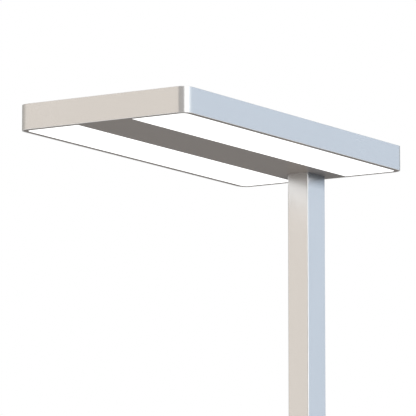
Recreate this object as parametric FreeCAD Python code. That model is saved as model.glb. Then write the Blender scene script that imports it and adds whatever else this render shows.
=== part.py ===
import FreeCAD, Part
import math
import os

# Free-standing office lamp. A long flat head with two downlight panels and two uplight panels is
# carried near its rear end by a slim rectangular column on a flat steel base.
# Millimetres. Origin: on the floor, on the column's axis. +Z up, +X from the column towards the
# head's free end, +Y to the lamp's left.

# ---------------------------------------------------------------- overall sizes
LAMP_HEIGHT = 1950.0

HEAD_LENGTH = 646.0
HEAD_WIDTH = 306.0
HEAD_HEIGHT = 40.0
HEAD_CORNER_RADIUS = 19.0
HEAD_REAR_OVERHANG = 24.0

COLUMN_DEPTH = 54.0
COLUMN_WIDTH = 38.0
COLUMN_WALL = 2.5
COLUMN_EDGE_RADIUS = 2.0

# ---------------------------------------------------------------- clearances
SEAT_GAP = 0.3
SLIDE_GAP = 0.25
CABLE_GAP = 0.2
SCREW_GAP = 0.2

# ---------------------------------------------------------------- head rim
RIM_WALL = 2.0
LOWER_LEDGE_DEPTH = 1.5
LOWER_LEDGE_THICKNESS = 2.0
UPPER_LEDGE_DEPTH = 6.0
UPPER_LEDGE_THICKNESS = 1.5
COVER_RECESS = 2.0

# ---------------------------------------------------------------- underside bezel and diffusers
BEZEL_THICKNESS = 1.5
BEZEL_LIP = 9.7
CENTRE_STRIP_WIDTH = 97.0
DIFFUSER_OVERLAP = 2.7
DIFFUSER_FLANGE_THICKNESS = 2.0
DIFFUSER_EDGE_GAP = 0.2

# ---------------------------------------------------------------- reflector trays and light boards
TRAY_SHEET = 1.0
TRAY_HEIGHT = 19.5
TRAY_END_INSET = 9.0
TRAY_TOP_WIDTH = 84.0
TRAY_MOUTH_INSET = 3.0
BOARD_THICKNESS = 1.6
BOARD_LENGTH = 590.0
BOARD_WIDTH = 60.0
LED_SIZE = 4.0
LED_HEIGHT = 0.8
LED_ROWS = 2
LED_ROW_SPACING = 34.0
LED_COUNT = 5
LED_PITCH = 118.0
BOARD_CONNECTOR_LENGTH = 14.0
BOARD_CONNECTOR_WIDTH = 8.0
BOARD_CONNECTOR_HEIGHT = 6.0

# ---------------------------------------------------------------- centre spine
SPINE_HALF_WIDTH = 45.2
SPINE_FLOOR = 3.0
SPINE_WALL = 2.2
SPINE_TOP_LIP = 6.0
SPINE_LIP_THICKNESS = 1.5

# ---------------------------------------------------------------- top cover and uplight lenses
COVER_THICKNESS = 1.5
UPLIGHT_END_INSET = 44.0
UPLIGHT_WIDTH = 76.0
UPLIGHT_CORNER_RADIUS = 6.0
LENS_OVERLAP = 4.0
LENS_FLANGE_THICKNESS = 2.0
VENT_COUNT = 10
VENT_PITCH = 14.0
VENT_SLOT_WIDTH = 3.0
VENT_SLOT_LENGTH = 46.0

# ---------------------------------------------------------------- head mount screws
M5_SHANK = 2.0
M5_HEAD = 4.5
M5_HEAD_HEIGHT = 3.0

# ---------------------------------------------------------------- column screw ports
PORT_SIZE = 7.0
PORT_BORE = 2.1
PORT_SLIT = 1.2

# ---------------------------------------------------------------- head mount
MOUNT_PLATE_THICKNESS = 6.0
MOUNT_PLATE_REAR = 29.0
MOUNT_PLATE_FRONT = 48.0
MOUNT_PLATE_WIDTH = 76.0
MOUNT_RAIL_HEIGHT = 4.0
MOUNT_RAIL_WIDTH = 5.0
SPIGOT_LENGTH = 42.0
SPIGOT_SLOT_LENGTH = 38.0
SPIGOT_SLOT_WIDTH = 14.0
PORT_SCREW_LENGTH = 34.0

# ---------------------------------------------------------------- cables
MAINS_LEAD_RADIUS = 3.0
CONTROL_LEAD_RADIUS = 1.8
MAINS_LEAD_X = 4.0
MAINS_LEAD_Y = -3.5
CONTROL_LEAD_Y = 4.0
GROMMET_LENGTH = 22.0
GROMMET_WIDTH = 15.0
GROMMET_FLANGE = 0.9
GROMMET_FLANGE_THICKNESS = 1.5
GROMMET_BEVEL = 3.0

# ---------------------------------------------------------------- driver and terminal block
DRIVER_LENGTH = 230.0
DRIVER_WIDTH = 56.0
DRIVER_HEIGHT = 24.0
DRIVER_REAR = 200.0
DRIVER_EAR_LENGTH = 10.0
DRIVER_EAR_THICKNESS = 2.0
DRIVER_RIB_COUNT = 9
DRIVER_RIB_PITCH = 22.0
DRIVER_RIB_WIDTH = 3.0
DRIVER_RIB_DEPTH = 1.2
TERMINAL_LENGTH = 34.0
TERMINAL_WIDTH = 58.0
TERMINAL_LEG_HEIGHT = 6.0
TERMINAL_LEG_WIDTH = 5.0
TERMINAL_BLOCK_HEIGHT = 15.0
TERMINAL_POLES = 5
TERMINAL_POLE_PITCH = 8.0
TERMINAL_WELL = 5.0
TERMINAL_WELL_DEPTH = 6.0
RIBBON_WIDTH = 8.0
RIBBON_THICKNESS = 1.6
RIBBON_GAP = 1.0
RIBBON_FORWARD_RUN = 24.0

# ---------------------------------------------------------------- end brackets
BRACKET_LENGTH = 16.0
BRACKET_WIDTH = 70.0
BRACKET_THICKNESS = 3.0
BRACKET_WINDOW_WIDTH = 34.0

# ---------------------------------------------------------------- push-button control
CONTROL_HEIGHT = 1100.0
CONTROL_LENGTH = 76.0
CONTROL_CUTOUT_WIDTH = 18.0
CONTROL_CORNER_RADIUS = 4.0
CONTROL_FLANGE = 3.0
CONTROL_PROUD = 1.5
CONTROL_BODY_GAP = 0.3
CONTROL_FACE = 2.2
CONTROL_BODY_DEPTH = 9.0
CONTROL_BODY_WALL = 1.2
BUTTON_WIDTH = 12.0
BUTTON_LENGTH = 28.0
BUTTON_SPACING = 33.0
BUTTON_CORNER_RADIUS = 3.0
BUTTON_PROUD = 1.2
BUTTON_TRAVEL = 0.8
BUTTON_FLANGE = 1.0
BUTTON_FLANGE_THICKNESS = 1.0
BUTTON_STEM_SIZE = 4.0
CONTROL_BOARD_THICKNESS = 1.6
SWITCH_SIZE = 6.0
SWITCH_HEIGHT = 3.6
SWITCH_BORE_FLOOR = 0.6
PLUNGER_RADIUS = 1.75
PLUNGER_GAP = 0.1
PLUNGER_PROUD = 1.2
CONTROL_PLUG_LENGTH = 10.0
CONTROL_PLUG_WIDTH = 8.0
CONTROL_PLUG_HEIGHT = 4.0

# ---------------------------------------------------------------- base plate and foot casting
BASE_LENGTH = 500.0
BASE_WIDTH = 306.0
BASE_THICKNESS = 10.0
BASE_CORNER_RADIUS = 19.0
BASE_EDGE_CHAMFER = 1.0
GLIDE_RADIUS = 15.0
GLIDE_THICKNESS = 3.0
GLIDE_INSET = 28.0
FOOT_LENGTH = 66.0
FOOT_WIDTH = 50.0
FOOT_HEIGHT = 110.0
FOOT_CORNER_RADIUS = 6.0
FOOT_TOP_CHAMFER = 2.0
FOOT_SKIRT = 5.0
FOOT_SKIRT_HEIGHT = 4.0
FOOT_FLOOR = 6.0
FOOT_SOCKET_DEPTH = 50.0
FOOT_SOCKET_GAP = 0.15
FOOT_LEDGE = 2.0
FOOT_BOSS_SIZE = 10.0
FOOT_BOSS_HEIGHT = 12.0
BASE_SCREW_CORE = 2.6
BASE_SCREW_HEAD = 5.0
BASE_SCREW_HEAD_HEIGHT = 4.0
BASE_COUNTERBORE = 5.6
BASE_COUNTERBORE_DEPTH = 4.5

# ---------------------------------------------------------------- appliance inlet
INLET_CENTRE_HEIGHT = 30.0
INLET_FLANGE_WIDTH = 31.0
INLET_FLANGE_HEIGHT = 24.0
INLET_FLANGE_THICKNESS = 2.0
INLET_BODY_WIDTH = 27.0
INLET_BODY_HEIGHT = 20.0
INLET_BODY_DEPTH = 16.0
INLET_BODY_GAP = 0.2
INLET_CAVITY_WIDTH = 23.0
INLET_CAVITY_HEIGHT = 16.0
INLET_CAVITY_DEPTH = 15.0
INLET_CAVITY_BEVEL = 4.5
PIN_WIDTH = 2.0
PIN_HEIGHT = 4.0
PIN_LENGTH = 13.0
PIN_SPACING = 14.0
PIN_OFFSET = 2.0
TAB_LENGTH = 6.0
TAB_THICKNESS = 0.8
BOOT_WIDTH = 22.0
BOOT_HEIGHT = 14.0
BOOT_WALL = 1.5
BOOT_NECK_HEIGHT = 8.0
BOOT_BEVEL = 3.0

# -------------------------------------------------------- levels and places worked out from the sizes
HEAD_BOTTOM = LAMP_HEIGHT - HEAD_HEIGHT
HEAD_REAR = -COLUMN_DEPTH / 2 - HEAD_REAR_OVERHANG
HEAD_FRONT = HEAD_REAR + HEAD_LENGTH
HEAD_SIDE = HEAD_WIDTH / 2

BEZEL_TOP = HEAD_BOTTOM + BEZEL_THICKNESS
FLANGE_TOP = BEZEL_TOP + DIFFUSER_FLANGE_THICKNESS
COVER_TOP = LAMP_HEIGHT - COVER_RECESS
COVER_BOTTOM = COVER_TOP - COVER_THICKNESS
LEDGE_UNDERSIDE = COVER_BOTTOM - UPPER_LEDGE_THICKNESS
SPINE_FLOOR_TOP = BEZEL_TOP + SPINE_FLOOR
TRAY_TOP = FLANGE_TOP + TRAY_HEIGHT
BOARD_TOP = TRAY_TOP + BOARD_THICKNESS

WINDOW_REAR = HEAD_REAR + BEZEL_LIP
WINDOW_FRONT = HEAD_FRONT - BEZEL_LIP
WINDOW_INNER = CENTRE_STRIP_WIDTH / 2
WINDOW_OUTER = HEAD_SIDE - BEZEL_LIP
WINDOW_OUTER_RADIUS = HEAD_CORNER_RADIUS - BEZEL_LIP
SHEET_INSET = RIM_WALL + SEAT_GAP
TRAY_INNER = WINDOW_INNER - DIFFUSER_OVERLAP
BOARD_CENTRE_Y = TRAY_INNER + TRAY_TOP_WIDTH / 2
BOARD_INNER = BOARD_CENTRE_Y - BOARD_WIDTH / 2
BOARD_REAR = (HEAD_REAR + HEAD_FRONT - BOARD_LENGTH) / 2

COLUMN_TOP = BEZEL_TOP
PLATE_TOP = SPINE_FLOOR_TOP + MOUNT_PLATE_THICKNESS
PORT_X = COLUMN_DEPTH / 2 - COLUMN_WALL - PORT_SIZE / 2
PORT_Y = COLUMN_WIDTH / 2 - COLUMN_WALL - PORT_SIZE / 2
BORE_HALF_DEPTH = COLUMN_DEPTH / 2 - COLUMN_WALL
BORE_HALF_WIDTH = COLUMN_WIDTH / 2 - COLUMN_WALL

BASE_BOTTOM = GLIDE_THICKNESS
BASE_TOP = BASE_BOTTOM + BASE_THICKNESS
BASE_REAR = HEAD_REAR
FOOT_TOP = BASE_TOP + FOOT_HEIGHT
SOCKET_FLOOR = FOOT_TOP - FOOT_SOCKET_DEPTH
CHAMBER_FLOOR = BASE_TOP + FOOT_FLOOR
CHAMBER_HALF_LENGTH = COLUMN_DEPTH / 2 - FOOT_LEDGE
CHAMBER_HALF_WIDTH = COLUMN_WIDTH / 2 - FOOT_LEDGE
FOOT_SCREW_X = CHAMBER_HALF_LENGTH - FOOT_BOSS_SIZE / 2

INLET_FACE = -FOOT_LENGTH / 2
INLET_FRONT = INLET_FACE - INLET_FLANGE_THICKNESS
INLET_BACK = INLET_FACE + INLET_BODY_DEPTH
INLET_Z = BASE_TOP + INLET_CENTRE_HEIGHT
CAVITY_FLOOR = INLET_FRONT + INLET_CAVITY_DEPTH
BOOT_TOP = INLET_Z + BOOT_HEIGHT / 2 + BOOT_NECK_HEIGHT

CONTROL_FRONT = COLUMN_DEPTH / 2 + CONTROL_PROUD
CONTROL_FACE_BACK = CONTROL_FRONT - CONTROL_FACE
CONTROL_BACK = COLUMN_DEPTH / 2 - CONTROL_BODY_DEPTH
BUTTON_FLANGE_FRONT = CONTROL_FACE_BACK - SLIDE_GAP
BUTTON_FLANGE_BACK = BUTTON_FLANGE_FRONT - BUTTON_FLANGE_THICKNESS
SWITCH_FRONT = CONTROL_BACK + SWITCH_HEIGHT
PLUNGER_FRONT = SWITCH_FRONT + PLUNGER_PROUD
PLUNGER_BACK = CONTROL_BACK + SWITCH_BORE_FLOOR + BUTTON_TRAVEL + SLIDE_GAP
CONTROL_BOARD_BACK = CONTROL_BACK - CONTROL_BOARD_THICKNESS
CONTROL_PLUG_BACK = CONTROL_BOARD_BACK - CONTROL_PLUG_HEIGHT
CONTROL_LEAD_X = (CONTROL_BOARD_BACK + CONTROL_PLUG_BACK) / 2
CONTROL_PLUG_TOP = CONTROL_HEIGHT + CONTROL_LENGTH / 2 - CONTROL_CORNER_RADIUS
GROMMET_X = (MAINS_LEAD_X + CONTROL_LEAD_X) / 2

TERMINAL_BOTTOM = PLATE_TOP + TERMINAL_LEG_HEIGHT
DRIVER_FRONT = DRIVER_REAR + DRIVER_LENGTH
RIBBON_Z = BOARD_TOP + BOARD_CONNECTOR_HEIGHT / 2
RIBBON_CROSS_X = DRIVER_FRONT + RIBBON_FORWARD_RUN

X_AXIS = FreeCAD.Vector(1, 0, 0)
Y_AXIS = FreeCAD.Vector(0, 1, 0)
Z_AXIS = FreeCAD.Vector(0, 0, 1)
ORIGIN = FreeCAD.Vector(0, 0, 0)


# ---------------------------------------------------------------- shared shapes
def box(x_range, y_range, z_range):
    """Block between two limits on each axis."""
    size = (x_range[1] - x_range[0], y_range[1] - y_range[0], z_range[1] - z_range[0])
    return Part.makeBox(*size, FreeCAD.Vector(x_range[0], y_range[0], z_range[0]))


def centred_box(centre, size):
    """Block given by its centre and its three sizes."""
    low = [middle - side / 2 for middle, side in zip(centre, size)]
    return Part.makeBox(*size, FreeCAD.Vector(*low))


def rod(start, direction, radius, length):
    """Round bar from a point along a direction."""
    return Part.makeCylinder(radius, length, start, direction)


def rounded_outline(u_range, v_range, radii):
    """Closed wire of a rectangle in the XY plane, with a radius for each corner.

    The corners run low-low, high-low, high-high, low-high. A radius of nought leaves it square.
    """
    corners = [
        (u_range[0], v_range[0], 1, 1),
        (u_range[1], v_range[0], -1, 1),
        (u_range[1], v_range[1], -1, -1),
        (u_range[0], v_range[1], 1, -1),
    ]
    half = math.sqrt(0.5)
    turns = []
    for index, ((u, v, to_u, to_v), radius) in enumerate(zip(corners, radii)):
        along_u = FreeCAD.Vector(u + to_u * radius, v, 0)
        along_v = FreeCAD.Vector(u, v + to_v * radius, 0)
        centre = FreeCAD.Vector(u + to_u * radius, v + to_v * radius, 0)
        middle = centre - FreeCAD.Vector(to_u * radius * half, to_v * radius * half, 0)
        ends = (along_v, along_u) if index % 2 == 0 else (along_u, along_v)
        turns.append((ends[0], middle, ends[1]))
    edges = []
    for index, (start, middle, end) in enumerate(turns):
        if radii[index] > 0:
            edges.append(Part.Arc(start, middle, end).toShape())
        edges.append(Part.LineSegment(end, turns[(index + 1) % len(turns)][0]).toShape())
    return Part.Wire(edges)


def rounded_plate(x_range, y_range, z_range, radius):
    """Upright prism with rounded vertical edges, one radius or one for each corner."""
    radii = radius if isinstance(radius, tuple) else (radius,) * 4
    face = Part.Face(rounded_outline(x_range, y_range, radii))
    plate = face.extrude(Z_AXIS * (z_range[1] - z_range[0]))
    plate.translate(Z_AXIS * z_range[0])
    return plate


def head_plate(inset, z_range):
    """Plate with the head's outline, drawn in by an inset."""
    return rounded_plate(
        (HEAD_REAR + inset, HEAD_FRONT - inset),
        (-HEAD_SIDE + inset, HEAD_SIDE - inset),
        z_range,
        HEAD_CORNER_RADIUS - inset,
    )


def head_ring(outer_inset, inner_inset, z_range):
    """Band between two insets of the head's outline."""
    return head_plate(outer_inset, z_range).cut(head_plate(inner_inset, z_range))


def bevelled_outline(u_range, v_range, bevel):
    """Closed wire of a rectangle in the XY plane with its corners cut off."""
    (left, right), (low, high) = u_range, v_range
    points = [
        (left + bevel, low),
        (right - bevel, low),
        (right, low + bevel),
        (right, high - bevel),
        (right - bevel, high),
        (left + bevel, high),
        (left, high - bevel),
        (left, low + bevel),
    ]
    vertices = [FreeCAD.Vector(u, v, 0) for u, v in points]
    return Part.makePolygon(vertices + vertices[:1])


def stand_up(outline, x_range, centre_z):
    """Plate square to X from an outline drawn in the XY plane about nought."""
    plate = Part.Face(outline).extrude(Z_AXIS * (x_range[1] - x_range[0]))
    plate.rotate(ORIGIN, Z_AXIS, 90)
    plate.rotate(ORIGIN, Y_AXIS, 90)
    plate.translate(FreeCAD.Vector(x_range[0], 0, centre_z))
    return plate


def upright_face_plate(x_range, centre_z, width, height, radius):
    """Plate square to X with rounded corners, centred on the column's axis."""
    outline = rounded_outline((-width / 2, width / 2), (-height / 2, height / 2), (radius,) * 4)
    return stand_up(outline, x_range, centre_z)


def top_edges(shape, level):
    """Edges of a shape that lie wholly at one level."""
    reach = 0.001
    bounds = [(edge, edge.BoundBox) for edge in shape.Edges]
    return [edge for edge, bound in bounds if bound.ZMin > level - reach and bound.ZMax < level + reach]


def extrude_yz(points, x_range):
    """Prism along X with a straight-sided YZ profile."""
    vertices = [FreeCAD.Vector(x_range[0], y, z) for y, z in points]
    face = Part.Face(Part.makePolygon(vertices + vertices[:1]))
    return face.extrude(X_AXIS * (x_range[1] - x_range[0]))


def mirrored(shape):
    """The same piece on the lamp's other side."""
    return shape.mirror(ORIGIN, Y_AXIS)


def hex_screw(seat, direction, shank, length, head, head_height):
    """Hex-head screw whose head bears on seat and whose shank runs along direction."""
    turns = [index * math.pi / 3 for index in range(7)]
    corners = [FreeCAD.Vector(head * math.cos(turn), head * math.sin(turn), 0) for turn in turns]
    cap = Part.Face(Part.makePolygon(corners)).extrude(-Z_AXIS * head_height)
    screw = cap.fuse(Part.makeCylinder(shank, length)).removeSplitter()
    screw.Placement = FreeCAD.Placement(seat, FreeCAD.Rotation(Z_AXIS, direction))
    return screw


def corner_points(half_x, half_y, z):
    """The four points at plus and minus two half spacings."""
    return [FreeCAD.Vector(sx * half_x, sy * half_y, z) for sx in (-1, 1) for sy in (-1, 1)]


def cross_prism(gap, z_range):
    """Fills the column's bore between its screw ports, short of the walls by a gap."""
    notch = PORT_SIZE + gap
    half_x = BORE_HALF_DEPTH - gap
    half_y = BORE_HALF_WIDTH - gap
    long_way = box((-half_x, half_x), (-half_y + notch, half_y - notch), z_range)
    wide_way = box((-half_x + notch, half_x - notch), (-half_y, half_y), z_range)
    return long_way.fuse(wide_way).removeSplitter()


# ---------------------------------------------------------------- head rim and underside
def make_head_frame():
    """Rim band with a lower ledge that backs the bezel and an upper ledge for the cover."""
    band = head_ring(0, RIM_WALL, (HEAD_BOTTOM, LAMP_HEIGHT))
    lower = head_ring(
        RIM_WALL, RIM_WALL + LOWER_LEDGE_DEPTH, (BEZEL_TOP, BEZEL_TOP + LOWER_LEDGE_THICKNESS)
    )
    upper = head_ring(RIM_WALL, RIM_WALL + UPPER_LEDGE_DEPTH, (LEDGE_UNDERSIDE, COVER_BOTTOM))
    return band.fuse([lower, upper]).removeSplitter()


def window(y_side, inset, z_range):
    """Left (+1) or right (-1) panel outline, grown or shrunk from the bezel's window.

    The corners beside the centre strip are square, the outer ones follow the head's corners.
    """
    outer_radius = WINDOW_OUTER_RADIUS - inset
    panel = rounded_plate(
        (WINDOW_REAR + inset, WINDOW_FRONT - inset),
        (WINDOW_INNER + inset, WINDOW_OUTER - inset),
        z_range,
        (0, 0, outer_radius, outer_radius),
    )
    return panel if y_side > 0 else mirrored(panel)


def make_bottom_bezel():
    """Sheet with the border, the centre strip, two windows and the column's window."""
    level = (HEAD_BOTTOM, BEZEL_TOP)
    bezel = head_plate(SHEET_INSET, level)
    column_hole = box(
        (-COLUMN_DEPTH / 2 - SEAT_GAP, COLUMN_DEPTH / 2 + SEAT_GAP),
        (-COLUMN_WIDTH / 2 - SEAT_GAP, COLUMN_WIDTH / 2 + SEAT_GAP),
        level,
    )
    return bezel.cut([window(1, 0, level), window(-1, 0, level), column_hole])


def make_left_diffuser():
    """Stepped opal panel: a boss flush in the window and a flange above the bezel."""
    boss = window(1, DIFFUSER_EDGE_GAP, (HEAD_BOTTOM, BEZEL_TOP))
    flange = window(1, -DIFFUSER_OVERLAP, (BEZEL_TOP, FLANGE_TOP))
    return boss.fuse(flange).removeSplitter()


# ---------------------------------------------------------------- trays and light boards
def tray_profile(thickness):
    """YZ outline of the tray's hollow (thickness 0) or of its outside."""
    inner = TRAY_INNER + TRAY_SHEET - thickness
    top = TRAY_TOP - TRAY_SHEET + thickness
    top_outer = TRAY_INNER + TRAY_TOP_WIDTH + thickness
    mouth_outer = WINDOW_OUTER - TRAY_MOUTH_INSET + thickness
    return [
        (inner, FLANGE_TOP),
        (mouth_outer, FLANGE_TOP),
        (mouth_outer, FLANGE_TOP + TRAY_SHEET),
        (top_outer, top),
        (inner, top),
    ]


def make_left_reflector_tray():
    """Folded sheet trough, open downwards, with a flange that clamps the diffuser."""
    rear = HEAD_REAR + TRAY_END_INSET
    front = HEAD_FRONT - TRAY_END_INSET
    shell = extrude_yz(tray_profile(TRAY_SHEET), (rear, front))
    flange = window(1, -DIFFUSER_OVERLAP, (FLANGE_TOP, FLANGE_TOP + TRAY_SHEET))
    hollow = extrude_yz(tray_profile(0), (rear + TRAY_SHEET, front - TRAY_SHEET))
    connector_hole = board_connector(TRAY_TOP, SEAT_GAP)
    return shell.fuse(flange).cut([hollow, connector_hole]).removeSplitter()


def board_connector(top, margin):
    """Plug block on the boards' inner edge, from the lower board's back up to a level."""
    half = BOARD_CONNECTOR_LENGTH / 2 + margin
    return box(
        (RIBBON_CROSS_X - half, RIBBON_CROSS_X + half),
        (BOARD_INNER - margin, BOARD_INNER + BOARD_CONNECTOR_WIDTH + margin),
        (TRAY_TOP - TRAY_SHEET, top),
    )


def light_board(bottom, led_bottom):
    """Board with two rows of light sources on one face."""
    board = box(
        (BOARD_REAR, BOARD_REAR + BOARD_LENGTH),
        (BOARD_INNER, BOARD_INNER + BOARD_WIDTH),
        (bottom, bottom + BOARD_THICKNESS),
    )
    middle_x = (HEAD_REAR + HEAD_FRONT) / 2
    lights = []
    for row in range(LED_ROWS):
        y = BOARD_CENTRE_Y + (row - (LED_ROWS - 1) / 2) * LED_ROW_SPACING
        for index in range(LED_COUNT):
            x = middle_x + (index - (LED_COUNT - 1) / 2) * LED_PITCH
            lights.append(
                centred_box((x, y, led_bottom + LED_HEIGHT / 2), (LED_SIZE, LED_SIZE, LED_HEIGHT))
            )
    return board.fuse(lights).removeSplitter()


def make_left_downlight_board():
    """Board under the tray's top, lights facing down into the trough."""
    bottom = TRAY_TOP - TRAY_SHEET - BOARD_THICKNESS
    return light_board(bottom, bottom - LED_HEIGHT)


def make_left_uplight_board():
    """Board on the tray's top, lights facing up, with the connector block."""
    board = light_board(TRAY_TOP, BOARD_TOP)
    block = board_connector(BOARD_TOP + BOARD_CONNECTOR_HEIGHT, 0)
    return board.fuse(block).removeSplitter()


# ---------------------------------------------------------------- spine, brackets and cover
def make_centre_spine():
    """Channel along the head: floor on the bezel, walls with inward lips under the cover."""
    outer = SPINE_HALF_WIDTH
    inner = SPINE_HALF_WIDTH - SPINE_WALL
    lip = inner - SPINE_TOP_LIP
    lip_bottom = COVER_BOTTOM - SPINE_LIP_THICKNESS
    half = [
        (outer, BEZEL_TOP),
        (outer, COVER_BOTTOM),
        (lip, COVER_BOTTOM),
        (lip, lip_bottom),
        (inner, lip_bottom),
        (inner, SPINE_FLOOR_TOP),
    ]
    profile = half + [(-y, z) for y, z in reversed(half)]
    spine = extrude_yz(profile, (HEAD_REAR + SHEET_INSET, HEAD_FRONT - SHEET_INSET))
    # The channel's outer corners clear the rim's lower ledge at both ends.
    ledge = head_ring(
        RIM_WALL,
        RIM_WALL + LOWER_LEDGE_DEPTH + SEAT_GAP,
        (BEZEL_TOP, BEZEL_TOP + LOWER_LEDGE_THICKNESS + SEAT_GAP),
    )
    upper = head_ring(
        RIM_WALL, RIM_WALL + UPPER_LEDGE_DEPTH + SEAT_GAP, (LEDGE_UNDERSIDE - SEAT_GAP, LAMP_HEIGHT)
    )
    spine = spine.cut([ledge, upper])
    spine = spine.cut(cross_prism(0, (BEZEL_TOP, SPINE_FLOOR_TOP)))
    holes = [rod(point, Z_AXIS, M5_SHANK + SCREW_GAP, SPINE_FLOOR)
             for point in corner_points(PORT_X, PORT_Y, BEZEL_TOP)]
    ribbon_slot = centred_box(
        (RIBBON_CROSS_X, 0, RIBBON_Z),
        (RIBBON_WIDTH + 2 * RIBBON_GAP, 2 * outer + 2, RIBBON_THICKNESS + 2 * RIBBON_GAP),
    )
    return spine.cut(holes + [ribbon_slot])


def make_end_bracket(front):
    """Pressed bracket between the spine's floor and the rim's upper ledge, at one end."""
    end = HEAD_FRONT - RIM_WALL if front else HEAD_REAR + RIM_WALL
    inward = -1 if front else 1
    upright_outer = end + inward * (LOWER_LEDGE_DEPTH + SEAT_GAP)

    def span(start, length):
        return tuple(sorted((start, start + inward * length)))

    half = BRACKET_WIDTH / 2
    y_range = (-half, half)
    foot_level = (SPINE_FLOOR_TOP, SPINE_FLOOR_TOP + BRACKET_THICKNESS)
    foot = box(span(upright_outer, BRACKET_LENGTH), y_range, foot_level)
    upright = box(span(upright_outer, BRACKET_THICKNESS), y_range, (SPINE_FLOOR_TOP, LEDGE_UNDERSIDE))
    tab_level = (LEDGE_UNDERSIDE - BRACKET_THICKNESS, LEDGE_UNDERSIDE)
    tab = box(span(upright_outer, BRACKET_LENGTH / 2), y_range, tab_level)
    window_half = BRACKET_WINDOW_WIDTH / 2
    opening = box(
        span(upright_outer - inward, BRACKET_THICKNESS + 2),
        (-window_half, window_half),
        (SPINE_FLOOR_TOP + 2 * BRACKET_THICKNESS, LEDGE_UNDERSIDE - 2 * BRACKET_THICKNESS),
    )
    return foot.fuse([upright, tab]).removeSplitter().cut(opening)


def make_top_cover():
    """Recessed lid with two uplight windows and a row of vent slots over the driver."""
    level = (COVER_BOTTOM, COVER_TOP)
    cover = head_plate(SHEET_INSET, level)
    cuts = [uplight_panel(0, level), mirrored(uplight_panel(0, level))]
    vent_middle = (DRIVER_REAR + DRIVER_FRONT) / 2
    for index in range(VENT_COUNT):
        x = vent_middle + (index - (VENT_COUNT - 1) / 2) * VENT_PITCH
        cuts.append(
            centred_box(
                (x, 0, COVER_BOTTOM + COVER_THICKNESS / 2),
                (VENT_SLOT_WIDTH, VENT_SLOT_LENGTH, COVER_THICKNESS),
            )
        )
    return cover.cut(cuts)


def uplight_panel(inset, z_range):
    """Left uplight outline, shrunk by an inset."""
    half = UPLIGHT_WIDTH / 2
    return rounded_plate(
        (HEAD_REAR + UPLIGHT_END_INSET + inset, HEAD_FRONT - UPLIGHT_END_INSET - inset),
        (BOARD_CENTRE_Y - half + inset, BOARD_CENTRE_Y + half - inset),
        z_range,
        UPLIGHT_CORNER_RADIUS - inset,
    )


def make_left_uplight_lens():
    """Stepped clear panel, flush in the cover with its flange against the underside."""
    boss = uplight_panel(DIFFUSER_EDGE_GAP, (COVER_BOTTOM, COVER_TOP))
    bounds = boss.BoundBox
    grow = DIFFUSER_EDGE_GAP + LENS_OVERLAP
    flange = box(
        (bounds.XMin - grow, bounds.XMax + grow),
        (bounds.YMin - grow, bounds.YMax + grow),
        (COVER_BOTTOM - LENS_FLANGE_THICKNESS, COVER_BOTTOM),
    )
    return boss.fuse(flange).removeSplitter()


# ---------------------------------------------------------------- driver, terminal block, wiring
def make_led_driver():
    """Driver case with an ear at each end and cooling grooves along both sides."""
    half = DRIVER_WIDTH / 2
    top = SPINE_FLOOR_TOP + DRIVER_HEIGHT
    case = box((DRIVER_REAR, DRIVER_FRONT), (-half, half), (SPINE_FLOOR_TOP, top))
    ears = box(
        (DRIVER_REAR - DRIVER_EAR_LENGTH, DRIVER_FRONT + DRIVER_EAR_LENGTH),
        (-half / 2, half / 2),
        (SPINE_FLOOR_TOP, SPINE_FLOOR_TOP + DRIVER_EAR_THICKNESS),
    )
    middle = (DRIVER_REAR + DRIVER_FRONT) / 2
    cuts = []
    for index in range(DRIVER_RIB_COUNT):
        x = middle + (index - (DRIVER_RIB_COUNT - 1) / 2) * DRIVER_RIB_PITCH
        for side in (-1, 1):
            cuts.append(
                centred_box(
                    (x, side * half, SPINE_FLOOR_TOP + DRIVER_HEIGHT / 2),
                    (DRIVER_RIB_WIDTH, 2 * DRIVER_RIB_DEPTH, DRIVER_HEIGHT * 0.7),
                )
            )
    return case.fuse(ears).removeSplitter().cut(cuts)


def make_terminal_block():
    """Bridge over the grommet on two legs, with a row of screw wells in its top."""
    half_width = TERMINAL_WIDTH / 2
    x_range = (GROMMET_X - TERMINAL_LENGTH / 2, GROMMET_X + TERMINAL_LENGTH / 2)
    top = TERMINAL_BOTTOM + TERMINAL_BLOCK_HEIGHT
    block = box(x_range, (-half_width, half_width), (PLATE_TOP, top))
    arch = half_width - TERMINAL_LEG_WIDTH
    cuts = [box(x_range, (-arch, arch), (PLATE_TOP, TERMINAL_BOTTOM))]
    well = (TERMINAL_WELL, TERMINAL_WELL, TERMINAL_WELL_DEPTH)
    for index in range(TERMINAL_POLES):
        y = (index - (TERMINAL_POLES - 1) / 2) * TERMINAL_POLE_PITCH
        for x in (GROMMET_X - TERMINAL_WELL, GROMMET_X + TERMINAL_WELL):
            cuts.append(centred_box((x, y, top - TERMINAL_WELL_DEPTH / 2), well))
    return block.cut(cuts)


def make_head_wiring():
    """Flat leads: one from the terminal block to the driver, one on to each tray's boards."""
    half_width = RIBBON_WIDTH / 2
    level = (RIBBON_Z - RIBBON_THICKNESS / 2, RIBBON_Z + RIBBON_THICKNESS / 2)
    feed = box((GROMMET_X + TERMINAL_LENGTH / 2, DRIVER_REAR), (-half_width, half_width), level)
    cross = (RIBBON_CROSS_X - half_width, RIBBON_CROSS_X + half_width)
    forward = box((DRIVER_FRONT, cross[1]), (RIBBON_GAP, RIBBON_GAP + RIBBON_WIDTH), level)
    across = box(cross, (RIBBON_GAP, BOARD_INNER), level)
    left = forward.fuse(across).removeSplitter()
    return Part.makeCompound([feed, left, mirrored(left)])


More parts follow.
